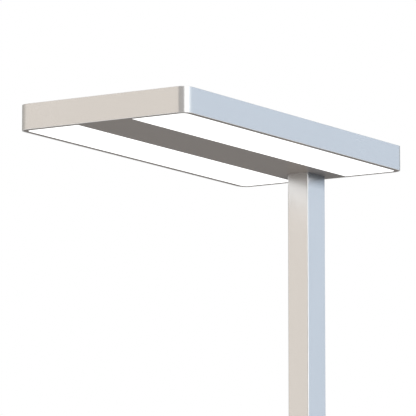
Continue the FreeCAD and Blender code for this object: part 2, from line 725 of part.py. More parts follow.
# ---------------------------------------------------------------- column and head mount
def make_column_tube():
    """Extruded profile with a screw port in each corner and the control's cut-out."""
    level = (SOCKET_FLOOR, COLUMN_TOP)
    half_depth = COLUMN_DEPTH / 2
    half_width = COLUMN_WIDTH / 2
    tube = rounded_plate((-half_depth, half_depth), (-half_width, half_width), level, COLUMN_EDGE_RADIUS)
    bore = box((-BORE_HALF_DEPTH, BORE_HALF_DEPTH), (-BORE_HALF_WIDTH, BORE_HALF_WIDTH), level)
    tube = tube.cut(bore)
    overlap = COLUMN_WALL / 2
    far_x = BORE_HALF_DEPTH + overlap
    far_y = BORE_HALF_WIDTH + overlap
    near_x = BORE_HALF_DEPTH - PORT_SIZE
    near_y = BORE_HALF_WIDTH - PORT_SIZE
    for sx in (-1, 1):
        for sy in (-1, 1):
            port_x = tuple(sorted((sx * near_x, sx * far_x)))
            port_y = tuple(sorted((sy * near_y, sy * far_y)))
            tube = tube.fuse(box(port_x, port_y, level))
    slit_x = BORE_HALF_DEPTH - PORT_SIZE - 1
    cuts = [rod(point, Z_AXIS, PORT_BORE, COLUMN_TOP - SOCKET_FLOOR)
            for point in corner_points(PORT_X, PORT_Y, SOCKET_FLOOR)]
    for point in corner_points(PORT_X, PORT_Y, SOCKET_FLOOR):
        side = math.copysign(1, point.x)
        half_slit = PORT_SLIT / 2
        cuts.append(
            box(tuple(sorted((side * slit_x, point.x))), (point.y - half_slit, point.y + half_slit), level)
        )
    cuts.append(
        upright_face_plate(
            (BORE_HALF_DEPTH - 1, COLUMN_DEPTH / 2 + 1),
            CONTROL_HEIGHT,
            CONTROL_CUTOUT_WIDTH,
            CONTROL_LENGTH,
            CONTROL_CORNER_RADIUS,
        )
    )
    return tube.removeSplitter().cut(cuts)


def make_head_mount_plate():
    """Cast plate on the spine's floor with two stiffening rails and a spigot in the column."""
    half_width = MOUNT_PLATE_WIDTH / 2
    plate_length = (-MOUNT_PLATE_REAR, MOUNT_PLATE_FRONT)
    plate = box(plate_length, (-half_width, half_width), (SPINE_FLOOR_TOP, PLATE_TOP))
    solids = [cross_prism(CABLE_GAP, (COLUMN_TOP - SPIGOT_LENGTH, SPINE_FLOOR_TOP))]
    for side in (-1, 1):
        edge = side * half_width
        inner = edge - side * MOUNT_RAIL_WIDTH
        solids.append(
            box(plate_length, tuple(sorted((edge, inner))), (PLATE_TOP, PLATE_TOP + MOUNT_RAIL_HEIGHT))
        )
    plate = plate.fuse(solids).removeSplitter()
    slot = centred_box(
        (0, 0, COLUMN_TOP - SPIGOT_LENGTH / 2), (SPIGOT_SLOT_LENGTH, SPIGOT_SLOT_WIDTH, SPIGOT_LENGTH)
    )
    cuts = [slot, grommet_body(CABLE_GAP, (COLUMN_TOP, PLATE_TOP))]
    cuts += [rod(point, -Z_AXIS, M5_SHANK + SCREW_GAP, MOUNT_PLATE_THICKNESS)
             for point in corner_points(PORT_X, PORT_Y, PLATE_TOP)]
    return plate.cut(cuts)


def grommet_body(gap, z_range):
    """Prism of the grommet's body, grown by a gap."""
    half_length = GROMMET_LENGTH / 2 + gap
    half_width = GROMMET_WIDTH / 2 + gap
    outline = bevelled_outline(
        (GROMMET_X - half_length, GROMMET_X + half_length), (-half_width, half_width), GROMMET_BEVEL
    )
    body = Part.Face(outline).extrude(Z_AXIS * (z_range[1] - z_range[0]))
    body.translate(Z_AXIS * z_range[0])
    return body


def make_cable_grommet():
    """Rubber grommet through the mount plate, with a hole for each lead."""
    body = grommet_body(0, (SPINE_FLOOR_TOP, PLATE_TOP))
    collar = centred_box(
        (GROMMET_X, 0, PLATE_TOP + GROMMET_FLANGE_THICKNESS / 2),
        (GROMMET_LENGTH + 2 * GROMMET_FLANGE, GROMMET_WIDTH + 2 * GROMMET_FLANGE, GROMMET_FLANGE_THICKNESS),
    )
    length = MOUNT_PLATE_THICKNESS + GROMMET_FLANGE_THICKNESS
    mains = FreeCAD.Vector(MAINS_LEAD_X, MAINS_LEAD_Y, SPINE_FLOOR_TOP)
    control = FreeCAD.Vector(CONTROL_LEAD_X, CONTROL_LEAD_Y, SPINE_FLOOR_TOP)
    holes = [
        rod(mains, Z_AXIS, MAINS_LEAD_RADIUS + CABLE_GAP / 2, length),
        rod(control, Z_AXIS, CONTROL_LEAD_RADIUS + CABLE_GAP / 2, length),
    ]
    return body.fuse(collar).removeSplitter().cut(holes)


def make_head_mount_screws():
    """Long screws through the plate and the spine's floor into the column's ports."""
    screws = [hex_screw(point, -Z_AXIS, M5_SHANK, PORT_SCREW_LENGTH, M5_HEAD, M5_HEAD_HEIGHT)
              for point in corner_points(PORT_X, PORT_Y, PLATE_TOP)]
    return Part.makeCompound(screws)


def make_mains_lead():
    """Lead from the inlet's boot, straight up the column to the terminal block."""
    foot = FreeCAD.Vector(MAINS_LEAD_X, MAINS_LEAD_Y, BOOT_TOP)
    return rod(foot, Z_AXIS, MAINS_LEAD_RADIUS, TERMINAL_BOTTOM - BOOT_TOP)


def make_control_lead():
    """Thin lead from the control board's plug, straight up the column to the terminal block."""
    foot = FreeCAD.Vector(CONTROL_LEAD_X, CONTROL_LEAD_Y, CONTROL_PLUG_TOP)
    return rod(foot, Z_AXIS, CONTROL_LEAD_RADIUS, TERMINAL_BOTTOM - CONTROL_PLUG_TOP)


# ---------------------------------------------------------------- push-button control
def control_prism(margin, x_range):
    """Rounded prism with the control cut-out's outline, grown by a margin."""
    return upright_face_plate(
        x_range,
        CONTROL_HEIGHT,
        CONTROL_CUTOUT_WIDTH + 2 * margin,
        CONTROL_LENGTH + 2 * margin,
        CONTROL_CORNER_RADIUS + margin,
    )


def button_prism(centre_z, margin, x_range):
    """Rounded prism with a button's outline, grown by a margin."""
    width = BUTTON_WIDTH + 2 * margin
    length = BUTTON_LENGTH + 2 * margin
    return upright_face_plate(x_range, centre_z, width, length, BUTTON_CORNER_RADIUS + margin)


def button_heights():
    """Heights of the up button and the down button."""
    return (CONTROL_HEIGHT + BUTTON_SPACING / 2, CONTROL_HEIGHT - BUTTON_SPACING / 2)


def make_control_bezel():
    """Moulded frame: a flange outside the column and a box inside that holds the board."""
    flange = control_prism(CONTROL_FLANGE, (COLUMN_DEPTH / 2, CONTROL_FRONT))
    half_width = CONTROL_CUTOUT_WIDTH / 2 - CONTROL_BODY_GAP
    half_length = CONTROL_LENGTH / 2 - CONTROL_BODY_GAP
    outline = bevelled_outline((-half_width, half_width), (-half_length, half_length), CONTROL_CORNER_RADIUS)
    body = stand_up(outline, (CONTROL_BACK, COLUMN_DEPTH / 2), CONTROL_HEIGHT)
    hollow = centred_box(
        ((CONTROL_BACK + CONTROL_FACE_BACK) / 2, 0, CONTROL_HEIGHT),
        (
            CONTROL_FACE_BACK - CONTROL_BACK,
            2 * (half_width - CONTROL_BODY_WALL),
            2 * (half_length - CONTROL_CORNER_RADIUS),
        ),
    )
    cuts = [hollow]
    for centre_z in button_heights():
        cuts.append(button_prism(centre_z, SLIDE_GAP, (CONTROL_FACE_BACK, CONTROL_FRONT)))
    return flange.fuse(body).cut(cuts).removeSplitter()


def make_button(centre_z):
    """Button cap with a retaining flange behind the bezel's face and a stem."""
    cap = button_prism(centre_z, 0, (BUTTON_FLANGE_FRONT, CONTROL_FRONT + BUTTON_PROUD))
    flange = centred_box(
        ((BUTTON_FLANGE_BACK + BUTTON_FLANGE_FRONT) / 2, 0, centre_z),
        (BUTTON_FLANGE_THICKNESS, BUTTON_WIDTH + 2 * BUTTON_FLANGE, BUTTON_LENGTH + 2 * BUTTON_FLANGE),
    )
    stem = centred_box(
        ((PLUNGER_FRONT + BUTTON_FLANGE_BACK) / 2, 0, centre_z),
        (BUTTON_FLANGE_BACK - PLUNGER_FRONT, BUTTON_STEM_SIZE, BUTTON_STEM_SIZE),
    )
    return cap.fuse([flange, stem]).removeSplitter()


def make_switch_plunger(centre_z):
    """Plunger that the button's stem pushes into the switch housing."""
    seat = FreeCAD.Vector(PLUNGER_BACK, 0, centre_z)
    return rod(seat, X_AXIS, PLUNGER_RADIUS, PLUNGER_FRONT - PLUNGER_BACK)


def make_control_board():
    """Board behind the bezel with two bored switch housings and the lead's plug."""
    width = CONTROL_CUTOUT_WIDTH - 2 * CONTROL_BODY_GAP
    length = CONTROL_LENGTH - 2 * CONTROL_CORNER_RADIUS
    board = centred_box(
        ((CONTROL_BOARD_BACK + CONTROL_BACK) / 2, 0, CONTROL_HEIGHT), (CONTROL_BOARD_THICKNESS, width, length)
    )
    solids = []
    bores = []
    for centre_z in button_heights():
        solids.append(
            centred_box(
                (CONTROL_BACK + SWITCH_HEIGHT / 2, 0, centre_z), (SWITCH_HEIGHT, SWITCH_SIZE, SWITCH_SIZE)
            )
        )
        bores.append(
            rod(
                FreeCAD.Vector(CONTROL_BACK + SWITCH_BORE_FLOOR, 0, centre_z),
                X_AXIS,
                PLUNGER_RADIUS + PLUNGER_GAP,
                SWITCH_HEIGHT,
            )
        )
    solids.append(
        box(
            (CONTROL_PLUG_BACK, CONTROL_BOARD_BACK),
            (CONTROL_LEAD_Y - CONTROL_PLUG_WIDTH / 2, CONTROL_LEAD_Y + CONTROL_PLUG_WIDTH / 2),
            (CONTROL_PLUG_TOP - CONTROL_PLUG_LENGTH, CONTROL_PLUG_TOP),
        )
    )
    return board.fuse(solids).cut(bores).removeSplitter()


# ---------------------------------------------------------------- base
def make_base_plate():
    """Steel plate with a chamfered top edge and counterbored screw holes under the foot."""
    half = BASE_WIDTH / 2
    x_range = (BASE_REAR, BASE_REAR + BASE_LENGTH)
    plate = rounded_plate(x_range, (-half, half), (BASE_BOTTOM, BASE_TOP), BASE_CORNER_RADIUS)
    rim = [edge for edge in plate.Edges if edge.BoundBox.ZMin > BASE_TOP - 0.001]
    plate = plate.makeChamfer(BASE_EDGE_CHAMFER, rim)
    cuts = []
    for seat in base_screw_seats():
        cuts.append(rod(seat, -Z_AXIS, BASE_COUNTERBORE, BASE_COUNTERBORE_DEPTH))
        cuts.append(rod(seat, Z_AXIS, BASE_SCREW_CORE + SCREW_GAP, BASE_THICKNESS - BASE_COUNTERBORE_DEPTH))
    return plate.cut(cuts)


def glide_points(z):
    """Centres of the glides: in from each corner of the base, and one under the column."""
    near = BASE_REAR + GLIDE_INSET
    far = BASE_REAR + BASE_LENGTH - GLIDE_INSET
    side = BASE_WIDTH / 2 - GLIDE_INSET
    corners = [FreeCAD.Vector(x, y, z) for x in (near, far) for y in (-side, side)]
    return corners + [FreeCAD.Vector(0, 0, z)]


def make_base_glides():
    """Round glides, bonded under the base."""
    return Part.makeCompound([rod(point, Z_AXIS, GLIDE_RADIUS, GLIDE_THICKNESS) for point in glide_points(0)])


def base_screw_seats():
    """Counterbore floors under the base, one in front of the column and one behind it."""
    return [FreeCAD.Vector(x, 0, BASE_BOTTOM + BASE_COUNTERBORE_DEPTH) for x in (-FOOT_SCREW_X, FOOT_SCREW_X)]


def base_screw_length():
    """From the counterbore's floor up to half way into the foot's boss."""
    return BASE_THICKNESS - BASE_COUNTERBORE_DEPTH + FOOT_FLOOR + FOOT_BOSS_HEIGHT / 2


def make_base_screws():
    """Screws from the base's underside up into the foot's bosses."""
    screws = [
        hex_screw(seat, Z_AXIS, BASE_SCREW_CORE, base_screw_length(), BASE_SCREW_HEAD, BASE_SCREW_HEAD_HEIGHT)
        for seat in base_screw_seats()
    ]
    return Part.makeCompound(screws)


def make_foot_casting():
    """Cast foot: a skirt on the base, an inlet chamber and a socket for the column's end."""
    half_length = FOOT_LENGTH / 2
    half_width = FOOT_WIDTH / 2
    body = rounded_plate(
        (-half_length, half_length), (-half_width, half_width), (BASE_TOP, FOOT_TOP), FOOT_CORNER_RADIUS
    )
    body = body.makeChamfer(FOOT_TOP_CHAMFER, top_edges(body, FOOT_TOP))
    skirt = rounded_plate(
        (-half_length - FOOT_SKIRT, half_length + FOOT_SKIRT),
        (-half_width - FOOT_SKIRT, half_width + FOOT_SKIRT),
        (BASE_TOP, BASE_TOP + FOOT_SKIRT_HEIGHT),
        FOOT_CORNER_RADIUS + FOOT_SKIRT,
    )
    # The socket's corners are square, so they clear the column's rounded edges.
    socket = rounded_plate(
        (-COLUMN_DEPTH / 2 - FOOT_SOCKET_GAP, COLUMN_DEPTH / 2 + FOOT_SOCKET_GAP),
        (-COLUMN_WIDTH / 2 - FOOT_SOCKET_GAP, COLUMN_WIDTH / 2 + FOOT_SOCKET_GAP),
        (SOCKET_FLOOR, FOOT_TOP),
        0,
    )
    chamber = box(
        (-CHAMBER_HALF_LENGTH, CHAMBER_HALF_LENGTH),
        (-CHAMBER_HALF_WIDTH, CHAMBER_HALF_WIDTH),
        (CHAMBER_FLOOR, SOCKET_FLOOR),
    )
    casting = body.fuse(skirt).cut([socket, chamber])
    boss_level = (CHAMBER_FLOOR, CHAMBER_FLOOR + FOOT_BOSS_HEIGHT)
    bosses = []
    reach = FOOT_BOSS_SIZE / 2
    for seat in base_screw_seats():
        bosses.append(box((seat.x - reach, seat.x + reach), (-reach, reach), boss_level))
    casting = casting.fuse(bosses).removeSplitter()
    wall_middle = (INLET_FACE - CHAMBER_HALF_LENGTH) / 2
    inlet_hole = centred_box(
        (wall_middle, 0, INLET_Z),
        (FOOT_LENGTH / 2 - CHAMBER_HALF_LENGTH, INLET_BODY_WIDTH + 2 * INLET_BODY_GAP,
         INLET_BODY_HEIGHT + 2 * INLET_BODY_GAP),
    )
    cuts = [inlet_hole]
    cuts += [rod(seat, Z_AXIS, BASE_SCREW_CORE, base_screw_length()) for seat in base_screw_seats()]
    return casting.cut(cuts)


# ---------------------------------------------------------------- inlet
def pin_centres():
    """Y and Z places of the line, neutral and earth pins in the inlet's face."""
    half = PIN_SPACING / 2
    return [(-half, INLET_Z - PIN_OFFSET), (half, INLET_Z - PIN_OFFSET), (0, INLET_Z + PIN_OFFSET)]


def make_inlet_socket():
    """Flanged inlet body with a six-sided recess."""
    flange = upright_face_plate(
        (INLET_FRONT, INLET_FACE), INLET_Z, INLET_FLANGE_WIDTH, INLET_FLANGE_HEIGHT, INLET_FLANGE_THICKNESS
    )
    body = centred_box(
        ((INLET_FACE + INLET_BACK) / 2, 0, INLET_Z), (INLET_BODY_DEPTH, INLET_BODY_WIDTH, INLET_BODY_HEIGHT)
    )
    half_width = INLET_CAVITY_WIDTH / 2
    half_height = INLET_CAVITY_HEIGHT / 2
    bevel = INLET_CAVITY_BEVEL
    outline = [
        (-half_width, -half_height),
        (half_width, -half_height),
        (half_width, half_height - bevel),
        (half_width - bevel, half_height),
        (-half_width + bevel, half_height),
        (-half_width, half_height - bevel),
    ]
    recess = extrude_yz([(y, INLET_Z + z) for y, z in outline], (INLET_FRONT, CAVITY_FLOOR))
    slot_x = (CAVITY_FLOOR + INLET_BACK) / 2
    slot_size = (INLET_BACK - CAVITY_FLOOR, PIN_WIDTH, PIN_HEIGHT)
    slots = [centred_box((slot_x, y, z), slot_size) for y, z in pin_centres()]
    return flange.fuse(body).removeSplitter().cut([recess] + slots)


def make_inlet_pins():
    """Flat pins through the inlet's floor, each with a thinner tab behind."""
    pins = []
    tip = CAVITY_FLOOR - PIN_LENGTH
    tab_x = INLET_BACK + TAB_LENGTH / 2
    for y, z in pin_centres():
        blade = centred_box(((tip + INLET_BACK) / 2, y, z), (INLET_BACK - tip, PIN_WIDTH, PIN_HEIGHT))
        tab = centred_box((tab_x, y, z), (TAB_LENGTH, TAB_THICKNESS, PIN_HEIGHT))
        pins.append(blade.fuse(tab).removeSplitter())
    return Part.makeCompound(pins)


def make_inlet_boot():
    """Elbow boot over the inlet's tabs, with a bevelled back and a neck where the lead starts."""
    half_height = BOOT_HEIGHT / 2
    half_width = BOOT_WIDTH / 2
    neck = MAINS_LEAD_RADIUS + BOOT_WALL
    back = MAINS_LEAD_X + neck
    outline = [
        (INLET_BACK, -half_height),
        (back - BOOT_BEVEL, -half_height),
        (back, -half_height + BOOT_BEVEL),
        (back, half_height),
        (INLET_BACK, half_height),
    ]
    vertices = [FreeCAD.Vector(x, -half_width, INLET_Z + z) for x, z in outline]
    body = Part.Face(Part.makePolygon(vertices + vertices[:1])).extrude(Y_AXIS * BOOT_WIDTH)
    rise = box(
        (MAINS_LEAD_X - neck, back),
        (MAINS_LEAD_Y - neck, MAINS_LEAD_Y + neck),
        (INLET_Z + half_height, BOOT_TOP),
    )
    tabs = [centred_box((INLET_BACK + TAB_LENGTH / 2, y, z), (TAB_LENGTH, TAB_THICKNESS, PIN_HEIGHT))
            for y, z in pin_centres()]
    return body.fuse(rise).removeSplitter().cut(tabs)


# ---------------------------------------------------------------- all nodes
def make_nodes():
    """Every node's name and shape."""
    up_z, down_z = button_heights()
    left = {
        "diffuser": make_left_diffuser(),
        "reflector_tray": make_left_reflector_tray(),
        "downlight_board": make_left_downlight_board(),
        "uplight_board": make_left_uplight_board(),
        "uplight_lens": make_left_uplight_lens(),
    }
    nodes = {}
    for name, shape in left.items():
        nodes["left_" + name] = shape
        nodes["right_" + name] = mirrored(shape)
    nodes.update({
        "head_frame": make_head_frame(),
        "bottom_bezel": make_bottom_bezel(),
        "centre_spine": make_centre_spine(),
        "front_end_bracket": make_end_bracket(True),
        "rear_end_bracket": make_end_bracket(False),
        "top_cover": make_top_cover(),
        "led_driver": make_led_driver(),
        "terminal_block": make_terminal_block(),
        "head_wiring": make_head_wiring(),
        "head_mount_plate": make_head_mount_plate(),
        "head_mount_screws": make_head_mount_screws(),
        "cable_grommet": make_cable_grommet(),
        "column_tube": make_column_tube(),
        "mains_lead": make_mains_lead(),
        "control_lead": make_control_lead(),
        "control_bezel": make_control_bezel(),
        "control_board": make_control_board(),
        "button_up": make_button(up_z),
        "button_down": make_button(down_z),
        "up_switch_plunger": make_switch_plunger(up_z),
        "down_switch_plunger": make_switch_plunger(down_z),
        "base_plate": make_base_plate(),
        "base_glides": make_base_glides(),
        "base_screws": make_base_screws(),
        "foot_casting": make_foot_casting(),
        "inlet_socket": make_inlet_socket(),
        "inlet_pins": make_inlet_pins(),
        "inlet_boot": make_inlet_boot(),
    })
    return nodes


os.makedirs("parts", exist_ok=True)
for node_name, node_shape in make_nodes().items():
    node_shape.exportStep("parts/" + node_name + ".step")
    print(node_name, len(node_shape.Solids), round(node_shape.Volume), node_shape.isValid())
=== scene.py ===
# %% [markdown]
# # An office floor lamp with a long flat head
#
# The lamp stands on the floor by itself. A flat rectangular head with two lit panels in its underside is
# carried near its rear end by one slim column, and the column stands in a cast foot on a steel base.
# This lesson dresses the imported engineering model: it keeps the inner parts, gives every surface a
# finish, and makes smooth new skins for the parts that are seen, such as the rim, column and panels.
#
# The frame comes first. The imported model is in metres, +Z is up, +X runs from the column to the head's
# free end, and the origin lies on the floor under the column. All pieces below are built in this frame.

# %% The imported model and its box
import math

import bmesh
import bpy
from mathutils import Matrix, Vector


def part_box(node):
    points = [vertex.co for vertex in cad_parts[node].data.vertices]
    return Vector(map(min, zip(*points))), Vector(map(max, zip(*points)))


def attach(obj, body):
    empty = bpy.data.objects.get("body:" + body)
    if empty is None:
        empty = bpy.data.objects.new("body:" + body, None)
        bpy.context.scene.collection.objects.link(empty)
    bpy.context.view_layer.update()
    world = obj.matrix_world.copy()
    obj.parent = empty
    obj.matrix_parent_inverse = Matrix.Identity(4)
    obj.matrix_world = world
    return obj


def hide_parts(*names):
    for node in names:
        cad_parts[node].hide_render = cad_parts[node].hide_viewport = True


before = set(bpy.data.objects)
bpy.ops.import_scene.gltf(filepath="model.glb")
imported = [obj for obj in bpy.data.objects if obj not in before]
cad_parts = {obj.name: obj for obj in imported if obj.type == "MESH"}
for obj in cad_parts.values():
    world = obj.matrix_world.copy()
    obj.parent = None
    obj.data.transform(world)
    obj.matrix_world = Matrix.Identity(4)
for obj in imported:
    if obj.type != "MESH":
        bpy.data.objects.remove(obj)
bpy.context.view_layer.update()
BODY = "lamp"
MM = 0.001
print("packed model:", len(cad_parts), "nodes")

# %% [markdown]
# ## The camera
#
# The photograph was taken with a very long lens from low in front of the lamp, so edges that are
# parallel on the lamp stay almost parallel in the picture. The camera's place and its three axes were
# worked out from the straight edges of rim, windows, strip and column. A camera looks along its own
# -Z axis, so the matrix holds right, up and the opposite of the viewing direction.

# %% The camera
scene = bpy.context.scene
scene.view_settings.view_transform = "Standard"

CAMERA_PLACE = (5.99423, 3.61505, 0.75999)
CAMERA_RIGHT = Vector((-0.53568, 0.84442, 0.0)).normalized()
CAMERA_UP = Vector((0.13076, 0.08295, 0.98794)).normalized()
CAMERA_BACK = CAMERA_RIGHT.cross(CAMERA_UP)

lens = bpy.data.cameras.new("photo_camera")
lens.sensor_width = 36.0
lens.lens = 380.95
lens.clip_end = 100.0
camera = bpy.data.objects.new("photo_camera", lens)
scene.collection.objects.link(camera)
scene.camera = camera
turned = Matrix((CAMERA_RIGHT, CAMERA_UP, CAMERA_BACK)).transposed().to_4x4()
camera.matrix_world = Matrix.Translation(CAMERA_PLACE) @ turned
print("camera looks along", [round(v, 3) for v in -CAMERA_BACK])

# %% [markdown]
# ## Node values as Python numbers
#
# A finish is a small network of nodes. Written out node by node it hides its own idea, so a node's
# output is wrapped in a small class: adding, multiplying or dividing such values adds the Math nodes.
# The reflected forms, such as `1 - mask`, work too. Any other node comes from one method, which takes
# the node's type, its settings and what goes into its sockets. Shaders, the world and geometry trees
# are all written this way.

# %% A wrapped node value
class NodeValue:
    """One output socket in a network, usable in sums."""

    def __init__(self, network, socket):
        self.network = network
        self.socket = socket

    def maths(self, operation, first, second=0.0):
        return self.network.maths(operation, first, second)

    def __add__(self, other):
        return self.maths("ADD", self, other)

    def __sub__(self, other):
        return self.maths("SUBTRACT", self, other)

    def __rsub__(self, other):
        return self.maths("SUBTRACT", other, self)

    def __mul__(self, other):
        return self.maths("MULTIPLY", self, other)

    def __truediv__(self, other):
        return self.maths("DIVIDE", self, other)

    def __pow__(self, other):
        return self.maths("POWER", self, other)

    def __abs__(self):
        return self.maths("ABSOLUTE", self)

    __radd__ = __add__
    __rmul__ = __mul__

    def step(self, low, high):
        """A soft step from 0 at low to 1 at high."""
        sockets = {"Value": self, "From Min": low, "From Max": high}
        return self.network.node("ShaderNodeMapRange", {"interpolation_type": "SMOOTHSTEP"}, sockets)


print("node values take + - * / ** abs() and step()")


# %% A network of nodes
class Network:
    """A node tree and one way to add nodes to it."""

    def __init__(self, tree):
        self.tree = tree

    def node(self, kind, settings=None, sockets=None, output=0):
        made = self.tree.nodes.new(kind)
        for key, value in (settings or {}).items():
            if key == "stops":
                self.set_stops(made.color_ramp, value)
            else:
                setattr(made, key, value)
        for key, value in (sockets or {}).items():
            self.feed(made.inputs[key], value)
        return NodeValue(self, made.outputs[output])

    def set_stops(self, ramp, stops):
        while len(ramp.elements) < len(stops):
            ramp.elements.new(1.0)
        for element, (position, colour) in zip(ramp.elements, stops):
            element.position = position
            element.color = (*colour, 1.0)

    def feed(self, socket, value):
        """Links a value, or each value of a list, to a socket, or sets a constant."""
        if isinstance(value, NodeValue):
            self.tree.links.new(value.socket, socket)
        elif isinstance(value, list):
            for source in value:
                self.feed(socket, source)
        else:
            socket.default_value = value

    def maths(self, operation, first, second=0.0):
        """A Math node; written out where no Python sign stands for it."""
        return self.node("ShaderNodeMath", {"operation": operation}, {0: first, 1: second})


print("networks add nodes by type, settings and sockets")

# %% [markdown]
# ## Finishes
#
# Every finish has one Principled shader and reads Object coordinates, so its grain keeps its size on
# a long part and a short one. Most finishes here vary the same three things, colour, roughness and a
# fine relief, so one method dresses the shader with all three.

# %% A finish
class Finish(Network):
    """A material with one Principled shader, and short ways to feed it."""

    def __init__(self, name, **constants):
        self.material = bpy.data.materials.new(name)
        self.material.use_nodes = True
        super().__init__(self.material.node_tree)
        self.shader = self.tree.nodes["Principled BSDF"]
        for socket, value in constants.items():
            self.shader.inputs[socket.replace("_", " ")].default_value = value
        self.places = None

    def drive(self, name, value):
        """Feeds one of the shader's sockets."""
        self.feed(self.shader.inputs[name], value)

    def object_place(self):
        """The point on the piece, in metres in the lamp's own frame."""
        if self.places is None:
            self.places = self.node("ShaderNodeTexCoord", output=3)
        return self.places

    def axes(self):
        """The point's X, Y and Z as three values."""
        split = self.node("ShaderNodeSeparateXYZ", sockets={"Vector": self.object_place()}).socket.node
        return [NodeValue(self, split.outputs[k]) for k in range(3)]

    def noise(self, size, detail, along=None, stretch=1):
        """Noise with grains of about a size in metres, stretched along an axis."""
        scale = tuple(1 / (size * (stretch if axis == along else 1)) for axis in "xyz")
        point = self.node("ShaderNodeVectorMath", {"operation": "MULTIPLY"},
                          {0: self.object_place(), 1: scale})
        return self.node("ShaderNodeTexNoise", {},
                         {"Vector": point, "Scale": 1.0, "Detail": detail, "Roughness": 0.55})

    def blend(self, mask, first, second):
        """Colour that runs from first to second with a mask."""
        made = self.node("ShaderNodeMix", {"data_type": "RGBA"}, {"Factor": mask}, output=2).socket.node
        for key, value in ((6, first), (7, second)):
            self.feed(made.inputs[key], value if isinstance(value, NodeValue) else (*value, 1.0))
        return NodeValue(self, made.outputs[2])

    def dress(self, colour, roughness, relief):
        """Sets the colour (mask, dark, light), the roughness and the relief (height, depth, distance)."""
        self.drive("Base Color", self.blend(*colour))
        self.drive("Roughness", roughness)
        height, depth, distance = relief
        self.drive("Normal", self.node("ShaderNodeBump", sockets={
            "Height": height, "Strength": depth, "Distance": distance}))
        return self

    def darken(self, mask, tone):
        """Runs the colour so far towards a darker tone; used here to paint shade."""
        colour = NodeValue(self, self.shader.inputs["Base Color"].links[0].from_socket)
        self.drive("Base Color", self.blend(mask, colour, tone))


print("a finish reads its place in metres, so a grain's size is given in metres too")


# %% Tones
def tinted(tone, times, plus=0.0):
    """A tone made darker or lighter."""
    return tuple(value * times + plus for value in tone)


print("a tone of 0.5, tinted by 0.9:", tinted((0.5,), 0.9))

# %% [markdown]
# ## The studio
#
# A satin metal lamp shows its surroundings more than its own colour. Behind the warm end face, the
# cool long face and the bright line on the corner there are three different things to see: a warm
# wall, a bluish one and a bright softbox. They are painted on one upright ring round the lamp, by
# azimuth, and the camera doesn't see the ring. The floor is plain and pale. The world is white where
# the camera, metal and glass look at it, and an even grey where it lights the object.

# %% The world
world = bpy.data.worlds.new("studio_white")
scene.world = world
world.use_nodes = True
WORLD_LIGHT = 0.50


def looked_at(network):
    """1 where the camera sees a thing itself or in metal or glass, 0 where it only lights."""
    camera_ray, glossy, through = [network.node("ShaderNodeLightPath", output=ray) for ray in (
        "Is Camera Ray", "Is Glossy Ray", "Is Transmission Ray")]
    return network.maths("MAXIMUM", network.maths("MAXIMUM", camera_ray, glossy), through)


sky = Network(world.node_tree)
background = sky.tree.nodes["Background"]
background.inputs["Color"].default_value = (1, 1, 1, 1)
sky.feed(background.inputs["Strength"], looked_at(sky) * (1.0 - WORLD_LIGHT) + WORLD_LIGHT)
print("world: white to the camera,", WORLD_LIGHT, "as light")


# %% Meshes from rings of points
def linked(name, data):
    """An object at the origin, in the scene."""
    item = bpy.data.objects.new(name, data)
    scene.collection.objects.link(item)
    return item


def wear(mesh, finish):
    """Gives a mesh one finish and no other."""
    mesh.materials.clear()
    mesh.materials.append(finish.material)
    return mesh


def circle(radius, z, count, centre=(0.0, 0.0)):
    return [(centre[0] + radius * math.cos(2 * math.pi * k / count),
             centre[1] + radius * math.sin(2 * math.pi * k / count), z) for k in range(count)]


def ring_mesh(name, rings, closed_ends=True):
    """Skin through rings that have as many points each."""
    shape = bmesh.new()
    rows = [[shape.verts.new(point) for point in ring] for ring in rings]
    count = len(rows[0])
    for lower, upper in zip(rows, rows[1:]):
        for k in range(count):
            after = (k + 1) % count
            shape.faces.new((lower[k], lower[after], upper[after], upper[k]))
    if closed_ends:
        shape.faces.new(list(reversed(rows[0])))
        shape.faces.new(rows[-1])
    bmesh.ops.remove_doubles(shape, verts=shape.verts, dist=1e-7)
    bmesh.ops.recalc_face_normals(shape, faces=shape.faces)
    mesh = bpy.data.meshes.new(name)
    shape.to_mesh(mesh)
    shape.free()
    return mesh


print("ring meshes are ready")

# %% The ring's tones
RING_RADIUS = 6.2
RING_HEIGHT = 4.6
RING_SIDES = 96
RING_SPOTS = [
    (-180, (0.28, 0.29, 0.30)),
    (-115, (0.40, 0.39, 0.37)),
    (-70, (0.56, 0.53, 0.49)),
    (-46, (0.89, 0.825, 0.755)),
    (-12, (0.89, 0.815, 0.74)),
    (-4, (0.42, 0.40, 0.38)),
    (40, (0.42, 0.41, 0.40)),
    (47, (2.0, 2.0, 2.0)),
    (80, (2.0, 2.0, 2.0)),
    (86, (0.95, 1.05, 1.15)),
    (100, (0.85, 0.95, 1.06)),
    (118, (0.67, 0.77, 0.90)),
    (166, (0.67, 0.77, 0.90)),
    (174, (0.28, 0.29, 0.30)),
]
RING_STRENGTH = 2.0


def add_ring_glow():
    """Emission round the ring by azimuth; a ramp holds at most 1, so the strength carries the rest."""
    glow = Finish("studio_ring")
    x, y, _ = glow.axes()
    turn = glow.maths("ARCTAN2", y, x) / (2 * math.pi) + 0.5
    stops = [((azimuth + 180) / 360, tinted(colour, 1 / RING_STRENGTH)) for azimuth, colour in RING_SPOTS]
    ramp = glow.node("ShaderNodeValToRGB", {"stops": stops}, {"Fac": turn})
    lamp = glow.node("ShaderNodeEmission", {}, {"Color": ramp, "Strength": RING_STRENGTH})
    glow.feed(glow.tree.nodes["Material Output"].inputs["Surface"], lamp)
    return glow


print("ring:", len(RING_SPOTS), "tones")

# %% The ring and the floor
ring_edges = [circle(RING_RADIUS, z, RING_SIDES) for z in (0.0, RING_HEIGHT)]
ring = linked("studio_ring", wear(ring_mesh("studio_ring", ring_edges, closed_ends=False), add_ring_glow()))
ring.visible_camera = False
ring.visible_shadow = False

